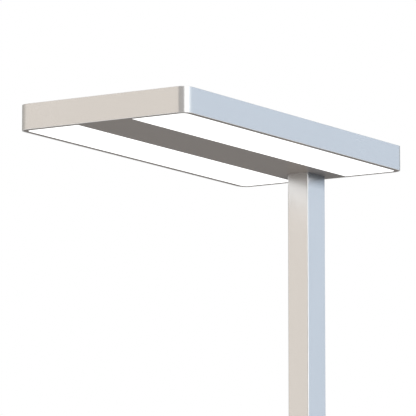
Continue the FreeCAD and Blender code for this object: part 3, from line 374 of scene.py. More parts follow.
FLOOR_GLOW = 0.42
FLOOR_REACH = 30
floor_finish = Finish("studio_floor", Roughness=0.9, Specular_IOR_Level=0.0)
floor_finish.drive("Base Color", floor_finish.blend(
    floor_finish.noise(0.4, 3.0), (0.80, 0.80, 0.80), (0.83, 0.83, 0.83)))
floor_finish.drive("Emission Color", floor_finish.blend(
    looked_at(floor_finish), (0.0, 0.0, 0.0), (1.0, 1.0, 1.0)))
floor_finish.drive("Emission Strength", FLOOR_GLOW)
floor_mesh = bpy.data.meshes.new("studio_floor")
floor_corners = [(x * FLOOR_REACH, y * FLOOR_REACH, 0) for x, y in ((-1, -1), (1, -1), (1, 1), (-1, 1))]
floor_mesh.from_pydata(floor_corners, [], [(0, 1, 2, 3)])
floor = linked("studio_floor", wear(floor_mesh, floor_finish))
print("studio: ring of", RING_RADIUS, "m radius on a floor of", 2 * FLOOR_REACH, "m")

# %% [markdown]
# ## Outlines, plates and lofts
#
# Nearly every part of this lamp is a rounded rectangle at some height: rim, bezel, panels, cover,
# column, foot and base. One outline helper therefore serves them all. A sheet with windows is a flat
# filled curve: Blender fills between the outer outline and the holes, gives it a thickness and rounds
# every edge, also round the holes. The curve is then turned into a mesh and its loose skins merged.

# %% Rounded outlines
LEAST_RADIUS = 0.02 * MM


def box_outline(low, high, radii, grow=0.0, steps=10):
    """A rectangle's outline, anticlockwise, with a radius for each corner, grown or shrunk by a margin."""
    low = (low[0] - grow, low[1] - grow)
    high = (high[0] + grow, high[1] + grow)
    radii = (radii,) * 4 if isinstance(radii, (int, float)) else radii
    corners = ((low[0], low[1], 180), (high[0], low[1], 270), (high[0], high[1], 0), (low[0], high[1], 90))
    points = []
    for (x, y, start), radius in zip(corners, radii):
        radius = max(radius + grow, LEAST_RADIUS) if radius > 0 else 0.0
        centre_x = x + radius if x == low[0] else x - radius
        centre_y = y + radius if y == low[1] else y - radius
        for k in range(steps + 1 if radius > 0 else 1):
            turn = math.radians(start + 90 * k / steps)
            points.append((centre_x + radius * math.cos(turn), centre_y + radius * math.sin(turn)))
    return points


def on_side(outline, side):
    """An outline drawn for the left side, mirrored to the right one where side is -1."""
    return outline if side > 0 else [(x, -y) for x, y in reversed(outline)]


print("a corner of an outline has 11 points where nothing else is said")

# %% Meshes from curves and modifiers
SMOOTH_ANGLE = math.radians(40)


def evaluated_mesh(holder):
    """The plain mesh that an object's curve or modifiers give; modifiers and object then go."""
    graph = bpy.context.evaluated_depsgraph_get()
    graph.update()
    result = bpy.data.meshes.new_from_object(holder.evaluated_get(graph), depsgraph=graph)
    holder.modifiers.clear()
    bpy.data.objects.remove(holder)
    return result


def tidy_mesh(mesh, weighted=True):
    """Merges doubles, turns faces outwards and shades flats flat and roundings round."""
    shape = bmesh.new()
    shape.from_mesh(mesh)
    bmesh.ops.remove_doubles(shape, verts=shape.verts, dist=2e-6)
    bmesh.ops.dissolve_degenerate(shape, edges=shape.edges, dist=1e-7)
    bmesh.ops.recalc_face_normals(shape, faces=shape.faces)
    shape.to_mesh(mesh)
    shape.free()
    mesh.shade_smooth()
    mesh.set_sharp_from_angle(angle=SMOOTH_ANGLE)
    if not weighted:
        return mesh
    holder = linked("holder", mesh)
    holder.modifiers.new("even", "WEIGHTED_NORMAL").keep_sharp = True
    return evaluated_mesh(holder)


print("faces meet softly below", round(math.degrees(SMOOTH_ANGLE)), "degrees")


# %% Plates with rounded edges
def plate_mesh(outlines, z_low, z_high, edge=0.2 * MM, soft=2):
    """A sheet: the first outline is its rim, the others are holes, and every edge is rounded."""
    curve = bpy.data.curves.new("plate", "CURVE")
    curve.dimensions = "2D"
    curve.fill_mode = "BOTH"
    curve.extrude = (z_high - z_low) / 2 - edge
    curve.bevel_depth = edge
    curve.bevel_resolution = soft
    curve.offset = -edge
    for outline in outlines:
        spline = curve.splines.new("POLY")
        spline.points.add(len(outline) - 1)
        for point, (x, y) in zip(spline.points, outline):
            point.co = (x, y, 0, 1)
        spline.use_cyclic_u = True
    mesh = evaluated_mesh(linked("plate", curve))
    mesh.transform(Matrix.Translation((0, 0, (z_low + z_high) / 2)))
    return tidy_mesh(mesh)


print("a plate's edge is rounded by 0.2 mm where nothing else is said")


# %% Joining and cutting
def joined(meshes):
    """One mesh from several."""
    shape = bmesh.new()
    for mesh in meshes:
        shape.from_mesh(mesh)
    result = bpy.data.meshes.new("joined")
    shape.to_mesh(result)
    shape.free()
    result.shade_smooth()
    result.set_sharp_from_angle(angle=SMOOTH_ANGLE)
    return result


def cut_mesh(mesh, cutter):
    """Takes a solid cutter away from a solid."""
    body = linked("body", mesh)
    tool = linked("tool", cutter)
    cut = body.modifiers.new("cut", "BOOLEAN")
    cut.operation = "DIFFERENCE"
    cut.solver = "EXACT"
    cut.object = tool
    result = evaluated_mesh(body)
    bpy.data.objects.remove(tool)
    return result


# Local u, v, w become the lamp's Y, Z and X: a plate drawn flat then faces the free end.
FACING_FRONT = Matrix(((0, 0, 1, 0), (1, 0, 0, 0), (0, 1, 0, 0), (0, 0, 0, 1)))
CUT_EDGE = 0.01 * MM


def cut_from_front(mesh, low, high, corner, start, end):
    """Cuts a rounded window through a mesh along X, from start to end."""
    cutter = plate_mesh([box_outline(low, high, corner)], start, end, edge=CUT_EDGE, soft=0)
    cutter.transform(FACING_FRONT)
    return cut_mesh(mesh, cutter)


print("meshes can be joined and cut")


# %% Placing a piece
def place(name, mesh, finish, replaces=(), body=BODY):
    """Names a finished mesh, gives it its finish and lets it ride on a body."""
    mesh.name = name
    piece = linked(name, wear(mesh, finish))
    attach(piece, body)
    if replaces:
        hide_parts(*replaces)
    low = [min(v.co[k] for v in mesh.vertices) for k in range(3)]
    high = [max(v.co[k] for v in mesh.vertices) for k in range(3)]
    size = [round((b - a) / MM, 1) for a, b in zip(low, high)]
    print(f"{name}: {len(mesh.polygons)} faces, {size} mm")


print("pieces ride on the body", BODY, "unless another one is named")

# %% [markdown]
# ## Repeats and rules with Geometry Nodes
#
# Screws and glides are one shape in many places, and the rim is one section all the way round. Such
# pieces are written as Geometry Nodes trees with named inputs, so a size is changed in one place. A
# tree sets its shape on points or carries it along a path, makes any copies real and gives them
# their finish. A recipe is a network like a finish, so sums work in it as well.

# %% A recipe of geometry nodes
class Recipe(Network):
    """A Geometry Nodes tree with named inputs."""

    def __init__(self, name, inputs):
        super().__init__(bpy.data.node_groups.new(name, "GeometryNodeTree"))
        face = self.tree.interface
        face.new_socket("Geometry", in_out="INPUT", socket_type="NodeSocketGeometry")
        self.names = {}
        for label, kind in inputs.items():
            made = face.new_socket(label, in_out="INPUT", socket_type="NodeSocket" + kind)
            self.names[label] = made.identifier
        face.new_socket("Geometry", in_out="OUTPUT", socket_type="NodeSocketGeometry")
        self.given = self.tree.nodes.new("NodeGroupInput")
        self.result = self.tree.nodes.new("NodeGroupOutput")

    def __getitem__(self, label):
        return NodeValue(self, self.given.outputs[label])

    def finish_with(self, geometry):
        """Makes the copies real and gives them the material of the input Finish."""
        real = self.node("GeometryNodeRealizeInstances", sockets={"Geometry": geometry})
        done = self.node("GeometryNodeSetMaterial", sockets={"Geometry": real, "Material": self["Finish"]})
        self.feed(self.result.inputs[0], done)

    def mesh_from(self, start_mesh, values):
        """Runs the recipe on a start mesh and returns the plain result."""
        holder = bpy.data.objects.new("holder", start_mesh)
        modifier = holder.modifiers.new("recipe", "NODES")
        modifier.node_group = self.tree
        for label, value in values.items():
            modifier[self.names[label]] = value
        scene.collection.objects.link(holder)
        return evaluated_mesh(holder)


def point_mesh(points):
    mesh = bpy.data.meshes.new("points")
    mesh.from_pydata(points, [], [])
    return mesh


print("a recipe's first input and its output are Geometry")

# %% [markdown]
# ## Satin anodised metal
#
# Rim and column are aluminium with a fine satin anodising. It mirrors the room softly, so the finish
# is mostly metallic. What makes it real is small: the drawn grain runs along the part, the anodised
# layer is a touch cloudy over a hand's width, and handling leaves the sheen slightly uneven.

# %% The metal finish
def satin_metal(name, tone, along, shine=0.26):
    """Drawn and anodised aluminium, its grain along one axis."""
    finish = Finish(name, Metallic=0.85, IOR=1.5)
    cloud = finish.noise(0.16, 2.0)
    grain = finish.noise(0.0006, 2.0, along, 60)
    fine = finish.noise(0.00035, 1.0)
    return finish.dress((cloud * 0.6 + grain * 0.4, tinted(tone, 0.965), tinted(tone, 1.015)),
                        cloud * 0.05 + grain * 0.05 + (shine - 0.05),
                        (grain * 0.7 + fine * 0.3, 0.05, 0.0002))


RIM_TONE = (0.80, 0.795, 0.79)
rim_finish = satin_metal("rim_satin_aluminium", RIM_TONE, "x")
print("the rim's tone:", RIM_TONE)

# %% [markdown]
# ## The rim
#
# The rim is one drawn band bent round four corners and closed at the rear. Its section is a thin wall
# with a small ledge near the bottom, which backs the bezel, and a wider one near the top, which
# carries the cover. Such a part is a rule and not a shape: one section follows one path. The path is
# a rectangle with filleted corners, and Curve to Mesh carries the section round it, so the corners
# stay true when a size changes.

# %% The rim's sizes
rim_low, rim_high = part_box("head_frame")
RIM_WALL = 2.0 * MM
RIM_CORNER = 19.0 * MM
RIM_EDGE = 0.7 * MM
LOWER_LEDGE = (1.5 * MM, 2.0 * MM)  # depth and thickness
UPPER_LEDGE = (6.0 * MM, 1.5 * MM)
BEZEL_THICKNESS = 1.5 * MM
COVER_RECESS = 2.0 * MM
COVER_THICKNESS = 1.5 * MM
rim_size = rim_high - rim_low
rim_middle = (rim_low + rim_high) / 2
print("rim:", [round(size / MM, 1) for size in rim_size], "mm")

# %% A section carried round the head
CORNER_POINTS = 14
EDGE_POINTS = 3
LEDGE_SIZES = ("depth", "thickness", "level")
rim_inputs = ["Length", "Width", "Height", "Corner radius", "Wall", "Edge radius"]
rim_inputs += [f"{ledge} ledge {size}" for ledge in ("Lower", "Upper") for size in LEDGE_SIZES]
rim_recipe = Recipe("rim_sweep", {**dict.fromkeys(rim_inputs, "Float"), "Finish": "Material"})


def rectangle(width, height):
    return rim_recipe.node("GeometryNodeCurvePrimitiveQuadrilateral", {"mode": "RECTANGLE"},
                           {"Width": width, "Height": height})


def filleted(curve, points, radius):
    return rim_recipe.node("GeometryNodeFilletCurve", {"mode": "POLY"}, {
        "Curve": curve, "Count": points, "Radius": radius, "Limit Radius": True})


def swept(inset, depth, height, level, edge=None):
    """A rectangular section, carried round the head's outline drawn in by an inset."""
    path = rectangle(rim_recipe["Length"] - inset * 2, rim_recipe["Width"] - inset * 2)
    path = filleted(path, CORNER_POINTS, rim_recipe["Corner radius"] - inset)
    path = rim_recipe.node("GeometryNodeSetCurveNormal", {"mode": "Z_UP"}, {"Curve": path})
    section = rectangle(depth, height)
    if edge is not None:
        section = filleted(section, EDGE_POINTS, edge)
    band = rim_recipe.node("GeometryNodeCurveToMesh", {}, {"Curve": path, "Profile Curve": section})
    offset = rim_recipe.node("ShaderNodeCombineXYZ", {}, {"Z": level})
    return rim_recipe.node("GeometryNodeTransform", {}, {"Geometry": band, "Translation": offset})


print("the rim's recipe takes", list(rim_recipe.names))

# %% The wall and its two ledges
wall = rim_recipe["Wall"]
bands = [swept(wall * 0.5, wall, rim_recipe["Height"], 0.0, rim_recipe["Edge radius"])]
for ledge in ("Lower", "Upper"):
    depth, thickness, level = [rim_recipe[f"{ledge} ledge {size}"] for size in LEDGE_SIZES]
    bands.append(swept(wall + depth * 0.5, depth, thickness, level))
rim_recipe.finish_with(rim_recipe.node("GeometryNodeJoinGeometry", {}, {"Geometry": bands}))
print("the rim has", len(bands), "bands")

# %% The rim itself
ledge_low = BEZEL_THICKNESS + LOWER_LEDGE[1] / 2 - rim_size.z / 2
ledge_high = rim_size.z / 2 - COVER_RECESS - COVER_THICKNESS - UPPER_LEDGE[1] / 2
rim_mesh = rim_recipe.mesh_from(point_mesh([]), {
    "Length": rim_size.x, "Width": rim_size.y, "Height": rim_size.z, "Corner radius": RIM_CORNER,
    "Wall": RIM_WALL, "Edge radius": RIM_EDGE,
    "Lower ledge depth": LOWER_LEDGE[0], "Lower ledge thickness": LOWER_LEDGE[1],
    "Lower ledge level": ledge_low,
    "Upper ledge depth": UPPER_LEDGE[0], "Upper ledge thickness": UPPER_LEDGE[1],
    "Upper ledge level": ledge_high,
    "Finish": rim_finish.material,
})
rim_mesh.transform(Matrix.Translation(rim_middle))
place("rim", tidy_mesh(rim_mesh), rim_finish, ["head_frame"])

# %% [markdown]
# ## The underside: bezel, strip and panels
#
# Seen from below, a thin grey sheet frames two long windows and leaves a broad strip between them.
# The opal panels sit in the windows flush with the sheet. Each panel is stepped: the face fills the
# window with a hair's gap, and a flange behind it rests on the sheet. A powder coat has a fine orange
# peel and little gloss; opal acrylic glows evenly and is only a trace cloudy.

# %% Two finishes for the underside
def powder_coat(name, tone, shine, gloss=0.5):
    """Sprayed and baked paint: fine peel in the surface, a faint mottle in the colour."""
    finish = Finish(name, IOR=1.5, Specular_IOR_Level=gloss)
    mottle = finish.noise(0.05, 4.0)
    peel = finish.noise(0.0011, 1.5)
    speck = finish.noise(0.0004, 1.0)
    return finish.dress((mottle * 0.7 + speck * 0.3, tinted(tone, 0.94), tinted(tone, 1.05)),
                        mottle * 0.06 + speck * 0.05 + (shine - 0.05),
                        (peel * 0.8 + speck * 0.2, 0.10, 0.0003))


def lit_opal(name, glow):
    """Opal acrylic lit from behind, a trace cloudy."""
    finish = Finish(name, IOR=1.49)
    cloud = finish.noise(0.09, 2.0)
    fine = finish.noise(0.0005, 1.0)
    finish.drive("Emission Color", finish.blend(cloud, (0.985, 0.985, 0.98), (1.0, 1.0, 1.0)))
    finish.drive("Emission Strength", glow)
    return finish.dress((cloud, (0.90, 0.90, 0.89), (0.93, 0.93, 0.93)), fine * 0.08 + 0.32,
                        (fine, 0.04, 0.0002))


BEZEL_TONE = (0.197, 0.160, 0.136)
# The dark tone towards which painted shade darkens the bezel.
SHADE_TONE = (0.05, 0.043, 0.038)
OPAL_GLOW = 0.9
bezel_finish = powder_coat("bezel_grey_coat", BEZEL_TONE, shine=0.33, gloss=0.36)
opal_finish = lit_opal("opal_panel_lit", OPAL_GLOW)
print("the bezel's tone:", BEZEL_TONE, "and the opal's glow:", OPAL_GLOW)

# %% The bezel
bezel_low, bezel_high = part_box("bottom_bezel")
column_low, column_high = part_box("column_tube")
SEAT_GAP = 0.3 * MM
PANEL_GAP = 0.2 * MM
PANEL_OVERLAP = 2.7 * MM
STRIP_HALF = 48.5 * MM
LIP = 9.7 * MM
SHADE_STEP = 0.2 * MM
WINDOW_CORNERS = (1.2 * MM, 1.2 * MM, RIM_CORNER - LIP, RIM_CORNER - LIP)
SHEET_EDGE = 0.25 * MM
SIDES = ((1, "left"), (-1, "right"))


def window_outline(side, grow=0.0):
    """A window in the underside; its corners by the strip are nearly square."""
    low = (rim_low.x + LIP, STRIP_HALF)
    high = (rim_high.x - LIP, rim_high.y - LIP)
    return on_side(box_outline(low, high, WINDOW_CORNERS, grow), side)


sheet_outline = box_outline(bezel_low.xy, bezel_high.xy, RIM_CORNER - RIM_WALL - SEAT_GAP)
column_outline = box_outline(column_low.xy, column_high.xy, 0.0, SEAT_GAP)
bezel_mesh = plate_mesh([sheet_outline, window_outline(1), window_outline(-1), column_outline],
                        bezel_low.z, bezel_high.z, edge=SHEET_EDGE)
print("bezel sheet:", len(bezel_mesh.polygons), "faces")


# %% Where shade is painted on the bezel
WINDOW_EDGE_SHADE = 0.4
STRIP_END_SHADE = 0.55


def off_windows(y):
    """1 on the strip between the windows, 0 beside it."""
    return 1.0 - abs(y).step(STRIP_HALF - SHADE_STEP, STRIP_HALF)


def paint_window_edge_shade(finish, width):
    """Painted shade: the coat is darkened along each window's edge, where the gap to the panel is in
    shadow.
    """
    x, y, _ = finish.axes()
    beside_strip = abs(abs(y) - STRIP_HALF)
    beside_lip = abs(abs(y) - (rim_high.y - LIP))
    beside_end = abs(abs(x - rim_middle.x) - (rim_high.x - LIP - rim_middle.x))
    along = finish.maths("MINIMUM", beside_strip, beside_lip)
    ends = beside_end + off_windows(y)
    near = 1.0 - finish.maths("MINIMUM", along, ends).step(width * 0.5, width)
    finish.darken(near * WINDOW_EDGE_SHADE, SHADE_TONE)


def paint_strip_end_shade(finish, back, front):
    """Painted shade: less light reaches the strip's end behind the column, so the coat's colour is darkened
    from front to back.
    """
    x, y, _ = finish.axes()
    finish.darken((1.0 - x.step(back, front)) * off_windows(y) * STRIP_END_SHADE, SHADE_TONE)


# Painted shade along the window edges, where the gap to each panel is in shadow.
paint_window_edge_shade(bezel_finish, 1.2 * MM)
# Painted shade on the strip's end behind the column, darker towards the rear.
paint_strip_end_shade(bezel_finish, -8 * MM, 30 * MM)
place("bezel", bezel_mesh, bezel_finish, ["bottom_bezel"])

# %% The opal panels
FACE_EDGE = 0.2 * MM
FLANGE_EDGE = 0.15 * MM


def stepped_panel(face, face_levels, flange, flange_levels):
    """A panel's face and the wider flange behind it."""
    return joined([plate_mesh([face], *face_levels, edge=FACE_EDGE),
                   plate_mesh([flange], *flange_levels, edge=FLANGE_EDGE)])


for side, word in SIDES:
    face_low, face_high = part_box(word + "_diffuser")
    panel = stepped_panel(window_outline(side, -PANEL_GAP), (face_low.z, bezel_high.z),
                          window_outline(side, PANEL_OVERLAP), (bezel_high.z, face_high.z))
    place(word + "_opal_panel", panel, opal_finish, [word + "_diffuser"])

# %% [markdown]
# ## The column
#
# The column is an extrusion with a thin wall and a screw port in each inner corner. Its outer edges
# are rounded by 2 mm, and that small rounding is what draws the bright line down the column in the
# photograph. It is a plate like the others, only two metres thick, with the bore as its hole. The
# window for the buttons is then cut through the front wall.

# %% The column's section
COLUMN_WALL = 2.5 * MM
COLUMN_CORNER = 2.0 * MM
PORT = 7.0 * MM
PORT_HOLE = 2.1 * MM
PORT_SIDES = 20
bore_x, bore_y = [size / 2 - COLUMN_WALL for size in (column_high - column_low).xy]


def bore_outline():
    """The bore: a rectangle that steps in round the screw port at each corner."""
    quarter = [(bore_x, bore_y - PORT), (bore_x - PORT, bore_y - PORT), (bore_x - PORT, bore_y)]
    upper = quarter + [(-x, y) for x, y in reversed(quarter)]
    return upper + [(-x, -y) for x, y in upper]


def port_outline(x, y):
    """The round screw hole in one port."""
    middle = (x * (bore_x - PORT / 2), y * (bore_y - PORT / 2))
    return [point[:2] for point in circle(PORT_HOLE, 0.0, PORT_SIDES, middle)]


section = [box_outline(column_low.xy, column_high.xy, COLUMN_CORNER, steps=8), bore_outline()]
section += [port_outline(x, y) for x in (-1, 1) for y in (-1, 1)]
column_mesh = plate_mesh(section, column_low.z, column_high.z, edge=0.1 * MM, soft=1)
print("the column's bore is", [round(2 * size / MM, 1) for size in (bore_x, bore_y)], "mm")

# %% The column in its finish
control_low, control_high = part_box("control_bezel")
CONTROL_FLANGE = 3.0 * MM
CONTROL_CORNER = 4.0 * MM
cut_low = (control_low.y + CONTROL_FLANGE, control_low.z + CONTROL_FLANGE)
cut_high = (control_high.y - CONTROL_FLANGE, control_high.z - CONTROL_FLANGE)
column_mesh = cut_from_front(column_mesh, cut_low, cut_high, CONTROL_CORNER,
                             column_high.x - COLUMN_WALL - 1 * MM, column_high.x + 2 * MM)


def paint_shade_below(finish, level, tone, flank, front):
    """Painted shade under the head: darkens the tone softly below a level, with a reach and a strength for
    flanks and for fronts.
    """
    _, y, z = finish.axes()
    below = level - z
    on_flank = abs(y).step(column_high.y - SHADE_STEP, column_high.y - SHADE_STEP / 2)
    flank_shade, front_shade = [(1.0 - below.step(0.0, reach)) * strength
                                for reach, strength in (flank, front)]
    finish.darken(flank_shade * on_flank + front_shade * (1.0 - on_flank), tone)


column_finish = satin_metal("column_satin_aluminium", RIM_TONE, "z", shine=0.24)
# Painted shade on the column just under the head, stronger and shorter on its flanks.
paint_shade_below(column_finish, bezel_low.z, (0.05, 0.06, 0.07), flank=(27 * MM, 0.71), front=(75 * MM, 0.27))
place("column", tidy_mesh(column_mesh), column_finish, ["column_tube"])

# %% [markdown]
# ## The top: cover, vents and uplight lenses
#
# The lid lies 2 mm below the rim's top edge on the upper ledge. It has two large windows for the
# uplight lenses, a row of slots over the driver to let its heat out, and small screws along both
# sides. The slots are one outline set out at an even pitch, so a list comprehension writes them.

# %% The cover
cover_low, cover_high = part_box("top_cover")
driver_low, driver_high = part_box("led_driver")
lens_low, lens_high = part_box("left_uplight_lens")
LENS_OVERLAP = 4.0 * MM
LENS_CORNER = 6.0 * MM
VENT_COUNT = 10
VENT_PITCH = 14.0 * MM
VENT_HALF = (1.5 * MM, 23.0 * MM)
VENT_ROUND = VENT_HALF[0] - 0.01 * MM


def lens_outline(side, grow=0.0):
    """A lens window in the cover."""
    low = (lens_low.x + LENS_OVERLAP, lens_low.y + LENS_OVERLAP)
    high = (lens_high.x - LENS_OVERLAP, lens_high.y - LENS_OVERLAP)
    return on_side(box_outline(low, high, LENS_CORNER, grow), side)


vent_middle = (driver_low.x + driver_high.x) / 2
vent_starts = [vent_middle + (k - (VENT_COUNT - 1) / 2) * VENT_PITCH for k in range(VENT_COUNT)]
vents = [box_outline((x - VENT_HALF[0], -VENT_HALF[1]), (x + VENT_HALF[0], VENT_HALF[1]), VENT_ROUND,
                     steps=6) for x in vent_starts]
cover_outline = box_outline(cover_low.xy, cover_high.xy, RIM_CORNER - RIM_WALL - SEAT_GAP)
cover_mesh = plate_mesh([cover_outline, lens_outline(1), lens_outline(-1)] + vents,
                        cover_low.z, cover_high.z, edge=SHEET_EDGE)
cover_finish = powder_coat("cover_silver_coat", (0.62, 0.615, 0.60), shine=0.38)
place("top_cover_sheet", cover_mesh, cover_finish, ["top_cover"])

# %% [markdown]
# ## Uplight lenses
#
# The lamp also lights the ceiling. Its lenses are satin acrylic with fine prisms across them, and the
# rows of light sources below show through as soft spots. The spots are placed by the same count and
# pitch as the boards use, written as distances in the shader.

# %% A prismatic lens
LIGHT_COUNT = 5
LIGHT_PITCH = 118.0 * MM
LIGHT_ROWS = 34.0 * MM
SPOT_REACH = (2.0 * MM, 24.0 * MM)
PRISM = 1.2 * MM
LENS_GLOW = 0.8
board_low, board_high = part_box("left_uplight_board")


def lens_with_spots(name):
    """Satin lens: prisms across, and a soft glow over every light source."""
    finish = Finish(name, IOR=1.49)
    x, y, _ = finish.axes()
    middle = (board_low + board_high) / 2
    along = (x - (middle.x - LIGHT_PITCH * LIGHT_COUNT / 2)) / LIGHT_PITCH
    off_x = (finish.maths("FRACT", along, 0.0) - 0.5) * LIGHT_PITCH
    off_y = abs(abs(abs(y) - middle.y) - LIGHT_ROWS / 2)
    spot = 1.0 - ((off_x * off_x + off_y * off_y) ** 0.5).step(*SPOT_REACH)
    prism = finish.maths("PINGPONG", x, PRISM) / PRISM
    cloud = finish.noise(0.05, 2.0)
    finish.drive("Emission Color", finish.blend(spot, (0.45, 0.45, 0.44), (1.0, 0.98, 0.94)))
    finish.drive("Emission Strength", LENS_GLOW)
    return finish.dress((cloud, (0.80, 0.81, 0.82), (0.86, 0.87, 0.87)), cloud * 0.1 + 0.24,
                        (prism, 0.35, 0.0004))


lens_finish = lens_with_spots("uplight_lens_prisms")
for side, word in SIDES:
    panel = stepped_panel(lens_outline(side, -PANEL_GAP), (cover_low.z, lens_high.z),
                          lens_outline(side, LENS_OVERLAP), (lens_low.z, cover_low.z))
    place(word + "_uplight_panel", panel, lens_finish, [word + "_uplight_lens"])

# %% [markdown]
# ## Screws
#
# A socket screw is a turned part with a six-sided hole in its head. The turned outline is spun by
# code, the hole is a ring with six corners inside a round one. One master serves every place: the
# Geometry Nodes recipe sets it on points, rolls each copy by its own angle and scales it to the size.

# %% The master screw
SCREW_SIDES = 24
SCREW_OUTLINE = [(0.5, -2.4), (0.54, -2.3), (0.54, 0.0), (0.97, 0.0), (1.0, 0.05), (0.97, 0.22),
                 (0.88, 0.38), (0.74, 0.50), (0.60, 0.55)]
SCREW_SOCKET = [(0.42, 0.55), (0.40, 0.50), (0.40, 0.12)]


def six_sided(radius, z):
    """A hexagon with as many points as the round rings, so that they can be skinned together."""
    points = []
    for k in range(SCREW_SIDES):
        turn = 2 * math.pi * k / SCREW_SIDES
        reach = radius / math.cos((turn + math.pi / 6) % (math.pi / 3) - math.pi / 6)
        points.append((reach * math.cos(turn), reach * math.sin(turn), z))
    return points


def socket_screw():
    """Button-head screw, 1 unit head radius, seated at z = 0 with its shank below."""
    return ring_mesh("master_screw", [circle(radius, z, SCREW_SIDES) for radius, z in SCREW_OUTLINE]
                     + [six_sided(radius, z) for radius, z in SCREW_SOCKET])


master_screw = linked("master_screw", socket_screw())
print("master screw:", len(master_screw.data.polygons), "faces")

# %% The screws' recipe
screw_recipe = Recipe("screws_on_points", {
    "Screw": "Object", "Head radius": "Float", "Tilt": "Rotation", "Seed": "Int", "Finish": "Material",
})
info = screw_recipe.node("GeometryNodeObjectInfo", {}, {"Object": screw_recipe["Screw"]}, output="Geometry")
roll = screw_recipe.node("FunctionNodeRandomValue", {"data_type": "FLOAT"},
                         {2: 0.0, 3: 2 * math.pi, "Seed": screw_recipe["Seed"]}, output=1)
spin = screw_recipe.node("ShaderNodeCombineXYZ", {}, {"Z": roll})
spin = screw_recipe.node("FunctionNodeEulerToRotation", {}, {0: spin})
aim = screw_recipe.node("FunctionNodeRotateRotation", {"rotation_space": "LOCAL"},
                        {"Rotation": screw_recipe["Tilt"], "Rotate By": spin})
set_out = screw_recipe.node("GeometryNodeInstanceOnPoints", {}, {
    "Points": screw_recipe["Geometry"], "Instance": info, "Rotation": aim,
    "Scale": screw_recipe["Head radius"]})
screw_recipe.finish_with(set_out)


def screws(points, head, finish, tilt=(0.0, 0.0, 0.0), seed=1):
    """Plain mesh of screws whose heads bear on the points."""
    mesh = screw_recipe.mesh_from(point_mesh(points), {
        "Screw": master_screw, "Head radius": head, "Tilt": tilt, "Seed": seed, "Finish": finish.material})
    return tidy_mesh(mesh, weighted=False)


print("the screws' recipe takes", list(screw_recipe.names))


# %% The plated finish and the cover's screws
def plated(name, tone, shine=0.28):
    """Zinc or nickel plate on steel: bright, a little cloudy, with fine turning marks."""
    finish = Finish(name, Metallic=1.0)
    cloud = finish.noise(0.004, 3.0)
    marks = finish.noise(0.0003, 1.0)
    return finish.dress((cloud, tinted(tone, 0.88), tone), cloud * 0.14 + marks * 0.06 + (shine - 0.08),
                        (marks, 0.12, 0.0001))


COVER_SCREW_RADIUS = 2.08 * MM
COVER_SCREW_INSET = RIM_WALL + UPPER_LEDGE[0] - 3.4 * MM
COVER_SCREW_PITCH = 0.225 * rim_size.x
cover_screw_y = rim_high.y - COVER_SCREW_INSET
cover_points = [(rim_middle.x + step * COVER_SCREW_PITCH, side * cover_screw_y, cover_high.z)
                for step in (-2, -1, 0, 1, 2) for side in (-1, 1)]
zinc_finish = plated("zinc_plate", (0.66, 0.66, 0.63))
cover_screws = screws(cover_points, COVER_SCREW_RADIUS, zinc_finish, seed=4)
place("cover_screws", cover_screws, zinc_finish)

# %% [markdown]
# ## The foot and the base
#
# Below the photograph the lamp must stand: a steel plate as wide as the head keeps it from tipping,
# and a cast foot holds the column. The foot is a loft through rounded rectangles, skirt, fillet, body,
# rounded top, then down inside the socket and the chamber, so its wall has a real thickness. The
# mains inlet is let into its rear wall.

# %% The foot's outlines
foot_low, foot_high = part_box("foot_casting")
SKIRT = 5.0 * MM
SKIRT_HEIGHT = 4.0 * MM
SKIRT_BEVEL = 0.5 * MM
SKIRT_ROUND = 1.5 * MM
FOOT_FILLET = 2.5 * MM
FOOT_SHOULDER = 2.0 * MM
FOOT_CORNER = 6.0 * MM
FOOT_FLOOR = 6.0 * MM
FOOT_LEDGE = 2.0 * MM
SOCKET_PLAY = 0.15 * MM
SOCKET_BEVEL = 0.3 * MM


def foot_ring(grow, z):
    """The foot's outer outline at a height."""
    low = (foot_low.x + SKIRT, foot_low.y + SKIRT)
    high = (foot_high.x - SKIRT, foot_high.y - SKIRT)
    return [(x, y, z) for x, y in box_outline(low, high, FOOT_CORNER, grow, steps=8)]


def socket_ring(grow, z, corner=COLUMN_CORNER):
    """The outline of the column's socket, or of the chamber under it, at a height."""
    return [(x, y, z) for x, y in box_outline(column_low.xy, column_high.xy, corner, grow, steps=8)]


def quarter_round(radius, start, end, out, up):
    """Offsets and heights along a quarter circle about a centre, for roundings and fillets."""
    turns = [math.radians(start + (end - start) * k / 4) for k in range(5)]
    return [(out + radius * math.cos(turn), up + radius * math.sin(turn)) for turn in turns]


print("the foot stands", round((foot_high.z - foot_low.z) / MM, 1), "mm high")

# %% The foot's loft
skirt_top = foot_low.z + SKIRT_HEIGHT
outside = [(SKIRT - SKIRT_BEVEL, foot_low.z), (SKIRT, foot_low.z + SKIRT_BEVEL)]
outside += quarter_round(SKIRT_ROUND, 0, 90, SKIRT - SKIRT_ROUND, skirt_top - SKIRT_ROUND)
outside += quarter_round(FOOT_FILLET, 270, 180, FOOT_FILLET, skirt_top + FOOT_FILLET)
outside += quarter_round(FOOT_SHOULDER, 0, 90, -FOOT_SHOULDER, foot_high.z - FOOT_SHOULDER)
socket = [(SOCKET_PLAY + SOCKET_BEVEL, foot_high.z), (SOCKET_PLAY, foot_high.z - SOCKET_BEVEL),
          (SOCKET_PLAY, column_low.z)]
foot_rings = [foot_ring(grow, z) for grow, z in outside] + [socket_ring(grow, z) for grow, z in socket]
chamber_corner = COLUMN_CORNER + 0.5 * MM
foot_rings += [socket_ring(-FOOT_LEDGE, z, chamber_corner) for z in (column_low.z, foot_low.z + FOOT_FLOOR)]
foot_mesh = ring_mesh("foot", foot_rings)
print("foot loft:", len(foot_rings), "rings")

# %% [markdown]
# ## A cast and sprayed finish
#
# The foot is die cast and the base is cut from plate. Both are sprayed in nearly the same silver, and
# the spray lies over a slightly wavy surface, so the finish has a long soft wave under its fine grain.

